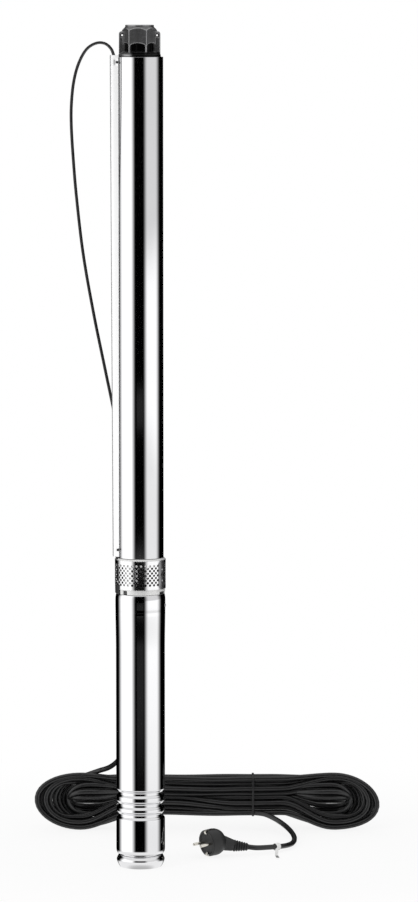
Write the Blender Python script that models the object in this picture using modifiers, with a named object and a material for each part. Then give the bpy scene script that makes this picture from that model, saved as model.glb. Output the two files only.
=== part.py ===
"""Borehole submersible pump: discharge head, staged pump end, suction strainer, motor, lead and drop cable.

Metres, +Z up. The origin is the centre of the motor's flat foot, and the shaft runs up the Z axis.
"""

import math

import bmesh
import bpy
from mathutils import Matrix, Vector

# Running clearance between pieces that touch
GAP = 0.0003

# Lengths of the outer pieces, and the heights of their joints from the foot
CAP_HEIGHT = 0.0215
MOTOR_LENGTH = 0.4177
LOWER_FLANGE = 0.0123
STRAINER_HEIGHT = 0.0353
UPPER_FLANGE = 0.0097
SHELL_LENGTH = 0.7905
HEAD_HEIGHT = 0.0500
CASE_BOTTOM = CAP_HEIGHT
FLANGE_BOTTOM = CASE_BOTTOM + MOTOR_LENGTH
STRAINER_BOTTOM = FLANGE_BOTTOM + LOWER_FLANGE
STRAINER_TOP = STRAINER_BOTTOM + STRAINER_HEIGHT
SHELL_BOTTOM = STRAINER_TOP + UPPER_FLANGE
SHELL_TOP = SHELL_BOTTOM + SHELL_LENGTH
HEAD_TOP = SHELL_TOP + HEAD_HEIGHT

# Radii of the motor's case and of the pump's shell, and how far other radii stand off the case's
CASE_RADIUS = 0.0388
SHELL_RADIUS = 0.0370
FLANGE_PROUD = 0.0004
STRAINER_PROUD = 0.0007
STUD_INSET = 0.0078
GLAND_INSET = 0.0103
STATOR_RING = 0.0198

# Pump end
SHELL_WALL = 0.0015
STAGES = 11
SHELL_ENDS = 0.1085
STAGE_PITCH = (SHELL_LENGTH - SHELL_ENDS) / STAGES
BOWL_WALL = 0.0020
EYE_RADIUS = 0.0165
PLATE_THICKNESS = 0.0024
SHAFT_FLATS = 0.0100
HUB_RADIUS = 0.0098
IMPELLER_RADIUS = 0.0308
IMPELLER_SHARE = 0.484
BLADES = 5
BLADE_SWEEP = math.radians(62)
BLADE_THICKNESS = 0.0016
SPIDER_SHARE = 0.258
SPIDER_ARMS = 3
SPIDER_ARM = 0.0030

# Discharge head
HEX_CORNER = 0.0279
HEX_TURN = math.radians(-6.4)
RING_RADIUS = 0.0225
RING_HEIGHT = 0.0035
HEX_CHAMFER = 0.0070
HEAD_FLANGE_RADIUS = 0.0333
HEAD_FLANGE_HEIGHT = 0.0065
SPIGOT_LENGTH = 0.0240
OUTLET_RADIUS = 0.0152
OUTLET_DEPTH = 0.0290
CHAMBER_RADIUS = 0.0142
NECK_RADIUS = 0.0192
ARCH_WIDTH = 0.0210
ARCH_SPRING = 0.0095
ARCH_CROWN = 0.0047
EAR_RADIUS = 0.0325
EAR_THICKNESS = 0.0080
EAR_TOP = 0.0100
EYELET_RADIUS = 0.0031
EYELET_OFFSET = 0.0277

# Check valve
SEAT_DEPTH = 0.0110
SEAT_HEIGHT = SHELL_TOP - SEAT_DEPTH
THROAT_RADIUS = 0.0100
POPPET_RADIUS = 0.0124
POPPET_THICKNESS = 0.0040
STEM_RADIUS = 0.0024
GUIDE_HEIGHT = 0.0045
SPRING_RADIUS = 0.0056
SPRING_WIRE = 0.0005
SPRING_TURNS = 5

# Cable guard and the flat lead below it
GUARD_TURN = math.radians(16.0)
GUARD_OVER = 0.0029
GUARD_LIFT = 0.0020
GUARD_TOP = SHELL_TOP + GUARD_OVER
GUARD_BOTTOM = SHELL_BOTTOM + GUARD_LIFT
GUARD_HALF_WIDTH = 0.0092
GUARD_PROUD_TOP = 0.0105
GUARD_PROUD_BOTTOM = 0.0072
GUARD_SHEET = 0.0010
GUARD_SCREW_INSET = 0.0110
GUARD_SCREW_SIDE = 0.0070
GUARD_SCREW_RADIUS = 0.0013
GUARD_SCREW_HEAD = 0.0021
SEAT_FLAT = 0.0038
SEAT_REACH = 0.0070
LEAD_THICKNESS = 0.0042
LEAD_WIDTH = 0.0080
LEAD_SIDE = -0.0020
GLAND_CIRCLE = CASE_RADIUS - GLAND_INSET
GLAND_RADIUS = 0.0050

# Suction bracket and strainer
STRAINER_RADIUS = CASE_RADIUS + STRAINER_PROUD
STRAINER_SHEET = 0.0006
FLANGE_RADIUS = CASE_RADIUS + FLANGE_PROUD
UPPER_FLANGE_RADIUS = STRAINER_RADIUS + 0.0001
UPPER_FLANGE_SLOPE = 0.0022
COLUMN_TURN = math.radians(59.0)
COLUMN_WIDTH = 0.0130
COLUMN_DEPTH = 0.0070
BRACKET_BORE = 0.0285
BRACKET_SPIGOT = 0.0200
FLANGE_THICKNESS = LOWER_FLANGE - 0.0005
STRAINER_COLUMNS = 40
STRAINER_ROWS = 7
STRAINER_TAB_WIDTH = 0.0200
STUD_CIRCLE = CASE_RADIUS - STUD_INSET
STUD_TURN = math.radians(40.0)
STUD_RADIUS = 0.0025
NUT_CORNER = 0.0050
NUT_HEIGHT = 0.0045
NUT_SEAT = 0.0032
POCKET_RADIUS = 0.0062
PRY_SLOT = (math.radians(53), math.radians(80))
PRY_SLOT_HEIGHT = 0.0042
PRY_SLOT_DEPTH = 0.0045
RIM_NOTCH_RADIUS = 0.0030
RIM_NOTCH_HEIGHT = 0.0070

# Motor
CASE_WALL = 0.0015
CASE_TOP = FLANGE_BOTTOM - GAP
CASE_SHOULDER = 0.0110
CASE_ROLL = 0.0022
BAND_PROUD = 0.0009
BAND_LENGTH = 0.0088
GROOVE_HEIGHTS = (0.1230, 0.1064, 0.0890)
GROOVE_DEPTH = 0.0038
GROOVE_HALF = 0.0042
TOP_GROOVE_DROP = 0.0281
TOP_GROOVE_HEIGHT = CASE_TOP - TOP_GROOVE_DROP
TOP_GROOVE_DEPTH = 0.0012
TOP_GROOVE_HALF = 0.0022
FOOT_ROUND = 0.0070
CAP_RADIUS = CASE_RADIUS - 0.0006
CAP_EDGE = 0.0045
CAP_SPIGOT = 0.0100
CAP_FLOOR = 0.0040
SHAFT_RADIUS = 0.0060
STATOR_BORE = CASE_RADIUS - STATOR_RING
STATOR_BOTTOM = 0.1850
STATOR_ENDS = 0.2677
STATOR_LENGTH = MOTOR_LENGTH - STATOR_ENDS
WINDING_HEIGHT = 0.0280
AIR_GAP = 0.0005
BELL_LENGTH = 0.0430
BUSH_WALL = 0.0040
BUSH_LENGTH = 0.0220
SEAL_RADIUS = 0.0125
COUPLING_RADIUS = 0.0110
COUPLING_LENGTH = 0.0400
COUPLING_RISE = 0.0098
COUPLING_BOTTOM = FLANGE_BOTTOM + COUPLING_RISE

# Drop cable, its hank behind the pump and the plug before it
CABLE_RADIUS = 0.0042
SPLICE_RADIUS = 0.0068
HANK_LEFT = -0.176
HANK_RIGHT = 0.396
HANK_BACK = 0.340
HANK_DEPTH = 0.036
HANK_LOBE_LOW = 0.0003
HANK_LOBE_HIGH = 0.096
HANK_BAND_LOW = 0.024
HANK_BAND_HIGH = 0.090
HANK_LOBE_REACH = 0.075
TIE_PLACE = 0.182
TIE_WIDTH = 0.0050
TIE_THICKNESS = 0.0016
PLUG_RADIUS = 0.0220
PLUG_FRONT = 0.0190
PLUG_BACK = 0.0130
PLUG_REACH = 0.0280
PLUG_NECK = 0.0095
PLUG_SHOULDER = 0.0140
PIN_RADIUS = 0.0024
PIN_LENGTH = 0.0190
PIN_SIDE = 0.0095

# Facets round a turned piece
SHELL_STEPS = 32
CAST_STEPS = 24
BELL_STEPS = 16
INNER_STEPS = 10

part = bpy.data.collections.new("borehole_pump")
cutters = bpy.data.collections.new("cutters")


def clear_scene():
    for obj in list(bpy.data.objects):
        bpy.data.objects.remove(obj)
    bpy.context.scene.collection.children.link(part)
    bpy.context.scene.collection.children.link(cutters)
    cutters.hide_render = True


def finish(name, colour, metallic, roughness):
    """A Principled material of one colour."""
    made = bpy.data.materials.new(name)
    made.use_nodes = True
    shader = made.node_tree.nodes["Principled BSDF"]
    shader.inputs["Base Color"].default_value = (*colour, 1)
    shader.inputs["Metallic"].default_value = metallic
    shader.inputs["Roughness"].default_value = roughness
    return made


def placed(name, mesh, material, smooth=True):
    """A new object of the part that shows this mesh."""
    obj = bpy.data.objects.new(name, mesh)
    part.objects.link(obj)
    if not mesh.materials:
        mesh.materials.append(material)
    if smooth and mesh.polygons:
        mesh.shade_smooth()
        mesh.set_sharp_from_angle(angle=math.radians(35))
    return obj


def as_cutter(obj):
    part.objects.unlink(obj)
    cutters.objects.link(obj)
    obj.hide_render = True
    obj.display_type = "WIRE"
    return obj


def fixed_mesh(obj):
    """The object's evaluated mesh with its caps welded, in place of its curve or modifiers."""
    bpy.context.view_layer.update()
    graph = bpy.context.evaluated_depsgraph_get()
    mesh = bpy.data.meshes.new_from_object(obj.evaluated_get(graph))
    held = bmesh.new()
    held.from_mesh(mesh)
    bmesh.ops.remove_doubles(held, verts=held.verts, dist=1e-6)
    held.to_mesh(mesh)
    held.free()
    name, matrix = obj.name, obj.matrix_world.copy()
    material = obj.data.materials[0]
    bpy.data.objects.remove(obj)
    mesh.materials.clear()
    made = placed(name, mesh, material)
    made.matrix_world = matrix
    return made


def turned(name, profile, material, steps=INNER_STEPS):
    """A closed profile of (radius, height) points, down its outer side first, turned about Z."""
    mesh = bpy.data.meshes.new(name)
    points = [(radius, 0, height) for radius, height in profile]
    edges = [(i, (i + 1) % len(points)) for i in range(len(points))]
    if profile[0][0] == 0 and profile[-1][0] == 0:
        edges.pop()
    mesh.from_pydata(points, edges, [])
    obj = placed(name, mesh, material)
    screw = obj.modifiers.new("turn", "SCREW")
    screw.axis = "Z"
    screw.steps = steps
    screw.render_steps = steps
    screw.use_merge_vertices = True
    screw.merge_threshold = 1e-5
    return fixed_mesh(obj)


def bore_for(radius, sides=INNER_STEPS):
    """Radius of a faceted bore whose flats clear a shaft of this radius."""
    return (radius + GAP) / math.cos(math.pi / sides)


def ring(name, outer, inner, bottom, top, material, steps=INNER_STEPS):
    profile = [(outer, top), (outer, bottom), (inner, bottom), (inner, top)]
    return turned(name, profile, material, steps)


def disc(name, radius, bottom, top, material, steps=INNER_STEPS):
    return turned(name, [(0, top), (radius, top), (radius, bottom), (0, bottom)], material, steps)


def prism(name, outlines, bottom, top, material):
    """One flat outline, with any holes, given a height."""
    curve = bpy.data.curves.new(name, "CURVE")
    curve.dimensions = "2D"
    curve.fill_mode = "BOTH"
    curve.extrude = (top - bottom) / 2
    curve.materials.append(material)
    for outline in outlines:
        spline = curve.splines.new("POLY")
        spline.points.add(len(outline) - 1)
        for point, (x, y) in zip(spline.points, outline):
            point.co = (x, y, 0, 1)
        spline.use_cyclic_u = True
    obj = bpy.data.objects.new(name, curve)
    part.objects.link(obj)
    obj.location.z = (top + bottom) / 2
    return obj


def tube(name, points, radius, material, resolution=2):
    """A cord or wire through the points."""
    curve = bpy.data.curves.new(name, "CURVE")
    curve.dimensions = "3D"
    curve.bevel_depth = radius
    curve.bevel_resolution = resolution
    curve.use_fill_caps = True
    curve.materials.append(material)
    spline = curve.splines.new("POLY")
    spline.points.add(len(points) - 1)
    for point, place in zip(spline.points, points):
        point.co = (*place, 1)
    obj = bpy.data.objects.new(name, curve)
    part.objects.link(obj)
    return obj


def combined(obj, other, operation="DIFFERENCE"):
    """A Boolean of two meshes. The second stays as a hidden cutter."""
    as_cutter(other)
    cut = obj.modifiers.new(other.name, "BOOLEAN")
    cut.operation = operation
    cut.solver = "EXACT"
    cut.object = other
    return obj


def arc(radius, start, end, count, centre=(0, 0)):
    """Points along an arc, with angles in radians."""
    turns = [start + (end - start) * i / (count - 1) for i in range(count)]
    return [(centre[0] + radius * math.cos(a), centre[1] + radius * math.sin(a)) for a in turns]


def circle(radius, count, centre=(0, 0)):
    return arc(radius, 0, 2 * math.pi * (count - 1) / count, count, centre)


def around(azimuth, radius, height):
    """The point at an azimuth that is 0 toward the viewer, -Y, and grows toward +X."""
    return Vector((radius * math.sin(azimuth), -radius * math.cos(azimuth), height))


def smooth_route(points, spacing):
    """Evenly spaced points on a smooth curve through the chosen ones."""
    knots = [Vector(p) for p in points]
    knots = [2 * knots[0] - knots[1], *knots, 2 * knots[-1] - knots[-2]]
    dense = []
    for a, b, c, d in zip(knots, knots[1:], knots[2:], knots[3:]):
        for i in range(24):
            t = i / 24
            dense.append(
                0.5 * (2 * b + (c - a) * t + (2 * a - 5 * b + 4 * c - d) * t * t)
                + 0.5 * (3 * b - a - 3 * c + d) * t**3
            )
    dense.append(knots[-2])
    length = sum((q - p).length for p, q in zip(dense, dense[1:]))
    count = max(2, round(length / spacing))
    route, travelled, wanted = [dense[0]], 0.0, length / count
    for p, q in zip(dense, dense[1:]):
        step = (q - p).length
        while step and travelled + step >= wanted - 1e-9 and len(route) < count:
            route.append(p.lerp(q, (wanted - travelled) / step))
            wanted += length / count
        travelled += step
    return [*route, dense[-1]]


def hexagon(corner, turn=0.0):
    """Corners of a hexagon, one of them at the azimuth of the turn plus 30 degrees."""
    azimuths = [turn + math.radians(30 + 60 * i) for i in range(6)]
    return [tuple(around(a, corner, 0))[:2] for a in azimuths]


def merged(name, pieces, material):
    """Separate closed bodies held by one mesh, as one operand of a Boolean."""
    held = bmesh.new()
    for piece in pieces:
        start = len(held.verts)
        held.from_mesh(piece.data)
        held.verts.ensure_lookup_table()
        bmesh.ops.transform(held, matrix=piece.matrix_world, verts=held.verts[start:])
        bpy.data.objects.remove(piece)
    mesh = bpy.data.meshes.new(name)
    held.to_mesh(mesh)
    held.free()
    return placed(name, mesh, material)


clear_scene()
steel = finish("polished_stainless", (0.72, 0.72, 0.73), 1.0, 0.12)
sheet = finish("bright_sheet_steel", (0.78, 0.78, 0.79), 1.0, 0.2)
cast = finish("dark_casting", (0.07, 0.072, 0.075), 0.2, 0.45)
moulded = finish("moulded_plastic", (0.5, 0.48, 0.42), 0.0, 0.4)
black = finish("black_rubber", (0.02, 0.02, 0.021), 0.0, 0.5)
iron = finish("laminated_iron", (0.25, 0.25, 0.26), 1.0, 0.4)
copper = finish("enamelled_copper", (0.6, 0.26, 0.12), 0.9, 0.35)
carbon = finish("carbon", (0.05, 0.05, 0.05), 0.1, 0.4)
ceramic = finish("ceramic", (0.85, 0.83, 0.78), 0.0, 0.2)
white = finish("white_tag", (0.85, 0.85, 0.84), 0.0, 0.5)


def discharge_head():
    """Hexagon casting over the pump, with ribs at its corners, two rope ears and the check valve inside."""
    spigot = SHELL_RADIUS - SHELL_WALL - GAP
    spigot_bottom = SHELL_TOP - SPIGOT_LENGTH
    flange_top = SHELL_TOP + HEAD_FLANGE_HEIGHT
    lead_in = OUTLET_RADIUS + 0.0012
    shoulder = HEAD_TOP - OUTLET_DEPTH
    seat_top = SEAT_HEIGHT + CHAMBER_RADIUS - THROAT_RADIUS
    profile = [
        (RING_RADIUS, HEAD_TOP),
        (RING_RADIUS, HEAD_TOP - 2 * RING_HEIGHT),
        (NECK_RADIUS, HEAD_TOP - 2 * RING_HEIGHT),
        (NECK_RADIUS, flange_top + 0.003),
        (HEAD_FLANGE_RADIUS - 0.005, flange_top),
        (HEAD_FLANGE_RADIUS, flange_top - 0.003),
        (HEAD_FLANGE_RADIUS, SHELL_TOP + GAP),
        (spigot, SHELL_TOP - 0.001),
        (spigot, spigot_bottom),
        (spigot - 0.004, spigot_bottom),
        (THROAT_RADIUS, SEAT_HEIGHT - 0.004),
        (THROAT_RADIUS, SEAT_HEIGHT),
        (CHAMBER_RADIUS, seat_top),
        (CHAMBER_RADIUS, shoulder),
        (OUTLET_RADIUS, shoulder),
        (OUTLET_RADIUS, HEAD_TOP - 0.0015),
        (lead_in, HEAD_TOP),
    ]
    head = turned("discharge_head", profile, cast, CAST_STEPS)

    # The hexagon is hollow, so that it meets the turned core only from outside
    core = circle((NECK_RADIUS + CHAMBER_RADIUS) / 2, 16)
    body = prism("hexagon", [hexagon(HEX_CORNER, HEX_TURN), core], SHELL_TOP + 0.002, HEAD_TOP - RING_HEIGHT, cast)
    body = fixed_mesh(body)
    cone_top = HEAD_TOP - RING_HEIGHT + 0.001
    envelope = [
        (RING_RADIUS - 0.0005, cone_top),
        (RING_RADIUS - 0.0005 + HEX_CHAMFER, cone_top - HEX_CHAMFER),
        (RING_RADIUS + HEX_CHAMFER, SHELL_TOP - 0.01),
        (0, SHELL_TOP - 0.01),
    ]
    chamfer = turned("hexagon_chamfer", [(0, cone_top), *envelope], cast, CAST_STEPS)
    combined(body, chamfer, "INTERSECT")
    body = fixed_mesh(body)

    # Arched recesses between the corner ribs
    half = ARCH_WIDTH / 2
    arch_foot = flange_top - HEAD_TOP + 0.001
    spring_line = arch_foot + ARCH_SPRING
    outline = [(-half, arch_foot), (half, arch_foot)]
    outline += [(x, spring_line + ARCH_CROWN * y / half) for x, y in arc(half, 0, math.pi, 7)]
    recesses = []
    for i in range(6):
        recess = fixed_mesh(prism(f"recess_{i}", [outline], NECK_RADIUS - 0.0004, HEX_CORNER + 0.004, cast))
        azimuth = HEX_TURN + math.radians(60 * i)
        stand = Matrix.Rotation(azimuth, 4, "Z") @ Matrix.Rotation(math.radians(90), 4, "X")
        recess.matrix_world = Matrix.Translation((0, 0, HEAD_TOP)) @ stand @ recess.matrix_world
        recesses.append(recess)
    combined(body, merged("recesses", recesses, cast))
    body = fixed_mesh(body)
    combined(head, body, "UNION")
    head = fixed_mesh(head)

    # Rope ears at two opposite corners
    for side, name in ((1, "right"), (-1, "left")):
        ear_top = HEAD_TOP - EAR_TOP
        inner = NECK_RADIUS - 0.001
        shape = [(inner, SHELL_TOP + 0.002), (EAR_RADIUS, SHELL_TOP + 0.002)]
        shape += arc(0.004, 0, math.pi / 2, 4, (EAR_RADIUS - 0.004, ear_top - 0.004))
        shape += [(inner, ear_top)]
        half_thick = EAR_THICKNESS / 2
        ear = fixed_mesh(prism(f"ear_{name}", [shape], -half_thick, half_thick, cast))
        corner = HEX_TURN + math.radians(90 if side > 0 else -90)
        lie = Matrix.Rotation(corner - math.radians(90), 4, "Z") @ Matrix.Rotation(math.radians(90), 4, "X")
        ear.matrix_world = lie @ ear.matrix_world
        combined(head, ear, "UNION")
        head = fixed_mesh(head)
        middle = around(corner, EYELET_OFFSET, ear_top - 0.0062)
        hole = fixed_mesh(prism(f"eyelet_{name}", [circle(EYELET_RADIUS, 12)], -0.014, 0.014, cast))
        hole.matrix_world = Matrix.Translation(middle) @ Matrix.Rotation(math.radians(90), 4, "X")
        combined(head, hole)
        head = fixed_mesh(head)
    return head


def check_valve():
    """Spring-closed poppet on the seat in the head, with its stem in a three-armed guide."""
    shoulder = HEAD_TOP - OUTLET_DEPTH
    guide_bottom = shoulder + GAP
    guide_top = guide_bottom + GUIDE_HEIGHT
    hub = STEM_RADIUS + 0.0026
    rim = OUTLET_RADIUS - GAP
    rim_inner = rim - 0.0016
    guide = ring("valve_guide", rim, rim_inner, guide_bottom, guide_top, moulded, 24)
    spoke = 0.0022
    arms = []
    for i in range(3):
        start = math.radians(120 * i)
        reach = math.asin(spoke / 2 / (rim_inner + 0.0006))
        inset = math.asin(spoke / 2 / hub)
        arms += [
            ((rim_inner + 0.0006) * math.cos(start - reach), (rim_inner + 0.0006) * math.sin(start - reach)),
            ((rim_inner + 0.0006) * math.cos(start + reach), (rim_inner + 0.0006) * math.sin(start + reach)),
        ]
        arms += arc(hub, start + inset, start + math.radians(120) - inset, 4)
    bore = circle(STEM_RADIUS + GAP, 10)
    spider = fixed_mesh(prism("valve_guide_arms", [arms, bore], guide_bottom + 0.0005, guide_top - 0.0005, moulded))
    combined(guide, spider, "UNION")
    fixed_mesh(guide)

    # The poppet's cone rests on the seat's, and its stem reaches into the guide
    contact = POPPET_RADIUS - THROAT_RADIUS
    rest = SEAT_HEIGHT + contact + GAP * 1.5
    stem_top = guide_top + 0.0005
    top = rest + POPPET_THICKNESS
    turned(
        "valve_poppet",
        [
            (0, stem_top),
            (STEM_RADIUS, stem_top),
            (STEM_RADIUS, top),
            (POPPET_RADIUS, top),
            (POPPET_RADIUS, rest),
            (POPPET_RADIUS - contact - 0.001, rest - contact - 0.001),
            (0, rest - contact - 0.001),
        ],
        black,
        24,
    )
    spring_bottom = top + SPRING_WIRE + GAP
    spring_top = guide_bottom - SPRING_WIRE - GAP
    count = SPRING_TURNS * 7
    wound = []
    for i in range(count + 1):
        a = 2 * math.pi * i / 7
        height = spring_bottom + (spring_top - spring_bottom) * i / count
        wound.append((SPRING_RADIUS * math.cos(a), SPRING_RADIUS * math.sin(a), height))
    tube("valve_spring", wound, SPRING_WIRE, steel, 1)


def pump_shell():
    """Polished tube over the stages."""
    inner = SHELL_RADIUS - SHELL_WALL
    ring("pump_shell", SHELL_RADIUS, inner, SHELL_BOTTOM, SHELL_TOP, steel, 48)


def impeller_height():
    """Height of one impeller's blades, as a share of the stages' pitch."""
    return STAGE_PITCH * IMPELLER_SHARE


def spider_height():
    """Height of one bearing spider over its impeller."""
    return STAGE_PITCH * SPIDER_SHARE


def stage_bottom(i):
    """Height of a stage's suction plate, counted from 0."""
    return SHELL_BOTTOM + BRACKET_SPIGOT + GAP + i * STAGE_PITCH


def bowl_stack():
    """The diffuser bowls as they stand stacked in the shell: wall, suction plates and bearing spiders."""
    outer = SHELL_RADIUS - SHELL_WALL - GAP
    inner = outer - BOWL_WALL
    bottom = stage_bottom(0)
    top = stage_bottom(STAGES)
    profile = [(outer, top), (outer, bottom)]
    for i in range(STAGES):
        low = stage_bottom(i)
        profile += [
            (EYE_RADIUS, low),
            (EYE_RADIUS, low + PLATE_THICKNESS),
            (inner, low + PLATE_THICKNESS + 0.004),
        ]
        if i < STAGES - 1:
            profile.append((inner, stage_bottom(i + 1)))
    profile.append((inner, top))
    stack = turned("bowl_stack", profile, moulded)
    spiders = []
    for i in range(STAGES):
        spider_top = stage_bottom(i + 1) - 0.004
        hub = HUB_RADIUS + 0.0050
        tip = outer - BOWL_WALL / 2
        outline = []
        for arm in range(SPIDER_ARMS):
            start = 2 * math.pi * arm / SPIDER_ARMS
            reach = math.asin(SPIDER_ARM / 2 / tip)
            inset = math.asin(SPIDER_ARM / 2 / hub)
            outline += [
                (tip * math.cos(start - reach), tip * math.sin(start - reach)),
                (tip * math.cos(start + reach), tip * math.sin(start + reach)),
            ]
            outline += arc(hub, start + inset, start + 2 * math.pi / SPIDER_ARMS - inset, 3)
        bore = circle(bore_for(HUB_RADIUS, 8), 8)
        spider = prism(f"spider_{i}", [outline, bore], spider_top - spider_height(), spider_top, moulded)
        spiders.append(fixed_mesh(spider))
    combined(stack, merged("spiders", spiders, moulded), "UNION")
    return fixed_mesh(stack)


def impeller_mesh():
    """One semi-open mixed-flow impeller about its own foot: sleeve, cone hub and blades swept back in plan."""
    bore = bore_for(SHAFT_FLATS / math.sqrt(3), INNER_STEPS)
    height = impeller_height()
    back = IMPELLER_RADIUS - 0.0060
    sleeve_top = STAGE_PITCH - PLATE_THICKNESS - spider_height() - 0.0040
    hub = turned(
        "impeller",
        [
            (HUB_RADIUS, sleeve_top),
            (HUB_RADIUS, height),
            (back, height),
            (back * 0.62, height * 0.5),
            (HUB_RADIUS, 0.0020),
            (HUB_RADIUS, -0.0060),
            (bore, -0.0060),
            (bore, sleeve_top),
        ],
        moulded,
        INNER_STEPS,
    )

    # The blades' free edges follow the cone of the bowl round them
    blades = []
    for i in range(BLADES):
        line = []
        for k in range(3):
            t = k / 2
            radius = HUB_RADIUS - 0.0008 + (IMPELLER_RADIUS + 0.001 - HUB_RADIUS) * t
            line.append((radius, 2 * math.pi * i / BLADES - BLADE_SWEEP * t))
        half = BLADE_THICKNESS / 2
        one = [(r * math.cos(a + half / r), r * math.sin(a + half / r)) for r, a in line]
        other = [(r * math.cos(a - half / r), r * math.sin(a - half / r)) for r, a in line]
        blades.append(fixed_mesh(prism(f"blade_{i}", [one + other[::-1]], 0.004, height - 0.0005, moulded)))
    vanes = merged("blades", blades, moulded)
    passage = turned(
        "passage",
        [
            (HUB_RADIUS - 0.0012, height - 0.0010),
            (back, height - 0.0010),
            (IMPELLER_RADIUS, height - 0.0050),
            (IMPELLER_RADIUS, height - 0.0100),
            (EYE_RADIUS - 0.0018, 0.0062),
            (HUB_RADIUS - 0.0012, 0.0045),
        ],
        moulded,
        INNER_STEPS,
    )
    combined(vanes, passage, "INTERSECT")
    vanes = fixed_mesh(vanes)
    combined(hub, vanes, "UNION")
    hub = fixed_mesh(hub)
    mesh = hub.data
    bpy.data.objects.remove(hub)
    return mesh


def pump_rotor():
    """Hexagon shaft with the impellers on it, and the sleeve that joins it to the motor's shaft."""
    mesh = impeller_mesh()
    for i in range(STAGES):
        impeller = placed(f"impeller_{i + 1:02d}", mesh, moulded)
        impeller.location.z = stage_bottom(i) + PLATE_THICKNESS + 0.0060
    joint = COUPLING_BOTTOM + COUPLING_LENGTH / 2
    corner = SHAFT_FLATS / math.sqrt(3)
    shaft_top = stage_bottom(STAGES) + 0.016
    fixed_mesh(prism("pump_shaft", [hexagon(corner)], joint + GAP, shaft_top, steel))
    bore = bore_for(max(corner, SHAFT_RADIUS))
    top = COUPLING_BOTTOM + COUPLING_LENGTH
    ring("shaft_coupling", COUPLING_RADIUS, bore, COUPLING_BOTTOM, top, steel)


def top_bearing():
    """Spider over the last stage that carries the shaft's upper end."""
    outer = SHELL_RADIUS - SHELL_WALL - GAP
    bottom = stage_bottom(STAGES) + GAP
    top = SHELL_TOP - SPIGOT_LENGTH - GAP
    rim = ring("top_bearing", outer, outer - 0.003, bottom, top, moulded)
    hub = SHAFT_FLATS / math.sqrt(3) + 0.005
    tip = outer - 0.0015
    outline = []
    for i in range(3):
        start = 2 * math.pi * i / 3 + math.radians(30)
        reach = math.asin(0.004 / 2 / tip)
        inset = math.asin(0.004 / 2 / hub)
        outline += [
            (tip * math.cos(start - reach), tip * math.sin(start - reach)),
            (tip * math.cos(start + reach), tip * math.sin(start + reach)),
        ]
        outline += arc(hub, start + inset, start + 2 * math.pi / 3 - inset, 4)
    bore = circle(SHAFT_FLATS / math.sqrt(3) + GAP * 1.5, 16)
    arms = fixed_mesh(prism("top_bearing_arms", [outline, bore], bottom + 0.003, top - 0.008, moulded))
    combined(rim, arms, "UNION")
    return fixed_mesh(rim)


def guard_point(side, height, lift):
    """A point over the shell at the guard: across it, along it and out from the shell's surface."""
    radial = Vector((-math.cos(GUARD_TURN), -math.sin(GUARD_TURN), 0))
    across = Vector((math.sin(GUARD_TURN), -math.cos(GUARD_TURN), 0))
    base = math.sqrt(SHELL_RADIUS**2 - side**2)
    return radial * (base + lift) + across * side + Vector((0, 0, height))


def cable_guard():
    """Bright channel over the lead, lower at its foot, with a pressed seat for a screw near each end."""
    columns = (-90, -70, -50, -30, -12, 6, 14, 24, 40, 60, 90)
    screws = (GUARD_TOP - GUARD_SCREW_INSET, GUARD_BOTTOM + GUARD_SCREW_INSET)
    heights = [GUARD_TOP]
    for middle in screws:
        heights += [middle + SEAT_REACH, middle + SEAT_FLAT, middle - SEAT_FLAT, middle - SEAT_REACH]
    heights = sorted({*heights, GUARD_BOTTOM}, reverse=True)
    held = bmesh.new()
    rows = []
    for height in heights:
        share = (height - GUARD_BOTTOM) / (GUARD_TOP - GUARD_BOTTOM)
        proud = GUARD_PROUD_BOTTOM + (GUARD_PROUD_TOP - GUARD_PROUD_BOTTOM) * share
        near = min(abs(height - middle) for middle in screws)
        pressed = near < (SEAT_FLAT + SEAT_REACH) / 2
        row = []
        for degrees in columns:
            a = math.radians(degrees)
            side = GUARD_HALF_WIDTH * math.copysign(abs(math.sin(a)) ** 0.7, a)
            lift = proud * max(0.0, math.cos(a)) ** 0.7
            if pressed and side > GUARD_SCREW_SIDE - GUARD_SCREW_HEAD - 0.0003:
                lift = GUARD_SHEET
            lift = max(lift, GUARD_SHEET) + GAP
            row.append(held.verts.new(guard_point(side, height, lift)))
        rows.append(row)
    for upper, lower in zip(rows, rows[1:]):
        for i in range(len(columns) - 1):
            held.faces.new((upper[i], lower[i], lower[i + 1], upper[i + 1]))
    bmesh.ops.recalc_face_normals(held, faces=held.faces)
    mesh = bpy.data.meshes.new("cable_guard")
    held.to_mesh(mesh)
    held.free()
    guard = placed("cable_guard", mesh, sheet)
    skin = guard.modifiers.new("sheet", "SOLIDIFY")
    skin.thickness = GUARD_SHEET
    skin.offset = -1
    guard = fixed_mesh(guard)
    for height, name in zip(screws, ("top", "bottom")):
        seat = guard_point(GUARD_SCREW_SIDE, height, 0)
        out = Vector((seat.x, seat.y, 0)).normalized()
        turn = out.to_track_quat("Z", "Y").to_matrix().to_4x4()
        hole = disc(f"guard_hole_{name}", GUARD_SCREW_RADIUS + GAP, -0.004, 0.006, sheet, 12)
        hole.matrix_world = Matrix.Translation(seat) @ turn
        combined(guard, hole)
        guard = fixed_mesh(guard)
        head_low = GUARD_SHEET + GAP * 3
        screw = turned(
            f"guard_screw_{name}",
            [
                (0, head_low + 0.0018),
                (GUARD_SCREW_HEAD * 0.7, head_low + 0.0016),
                (GUARD_SCREW_HEAD, head_low + 0.0008),
                (GUARD_SCREW_HEAD, head_low),
                (GUARD_SCREW_RADIUS, head_low),
                (GUARD_SCREW_RADIUS, GAP),
                (0, GAP),
            ],
            steel,
            12,
        )
        screw.matrix_world = Matrix.Translation(seat) @ turn


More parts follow.
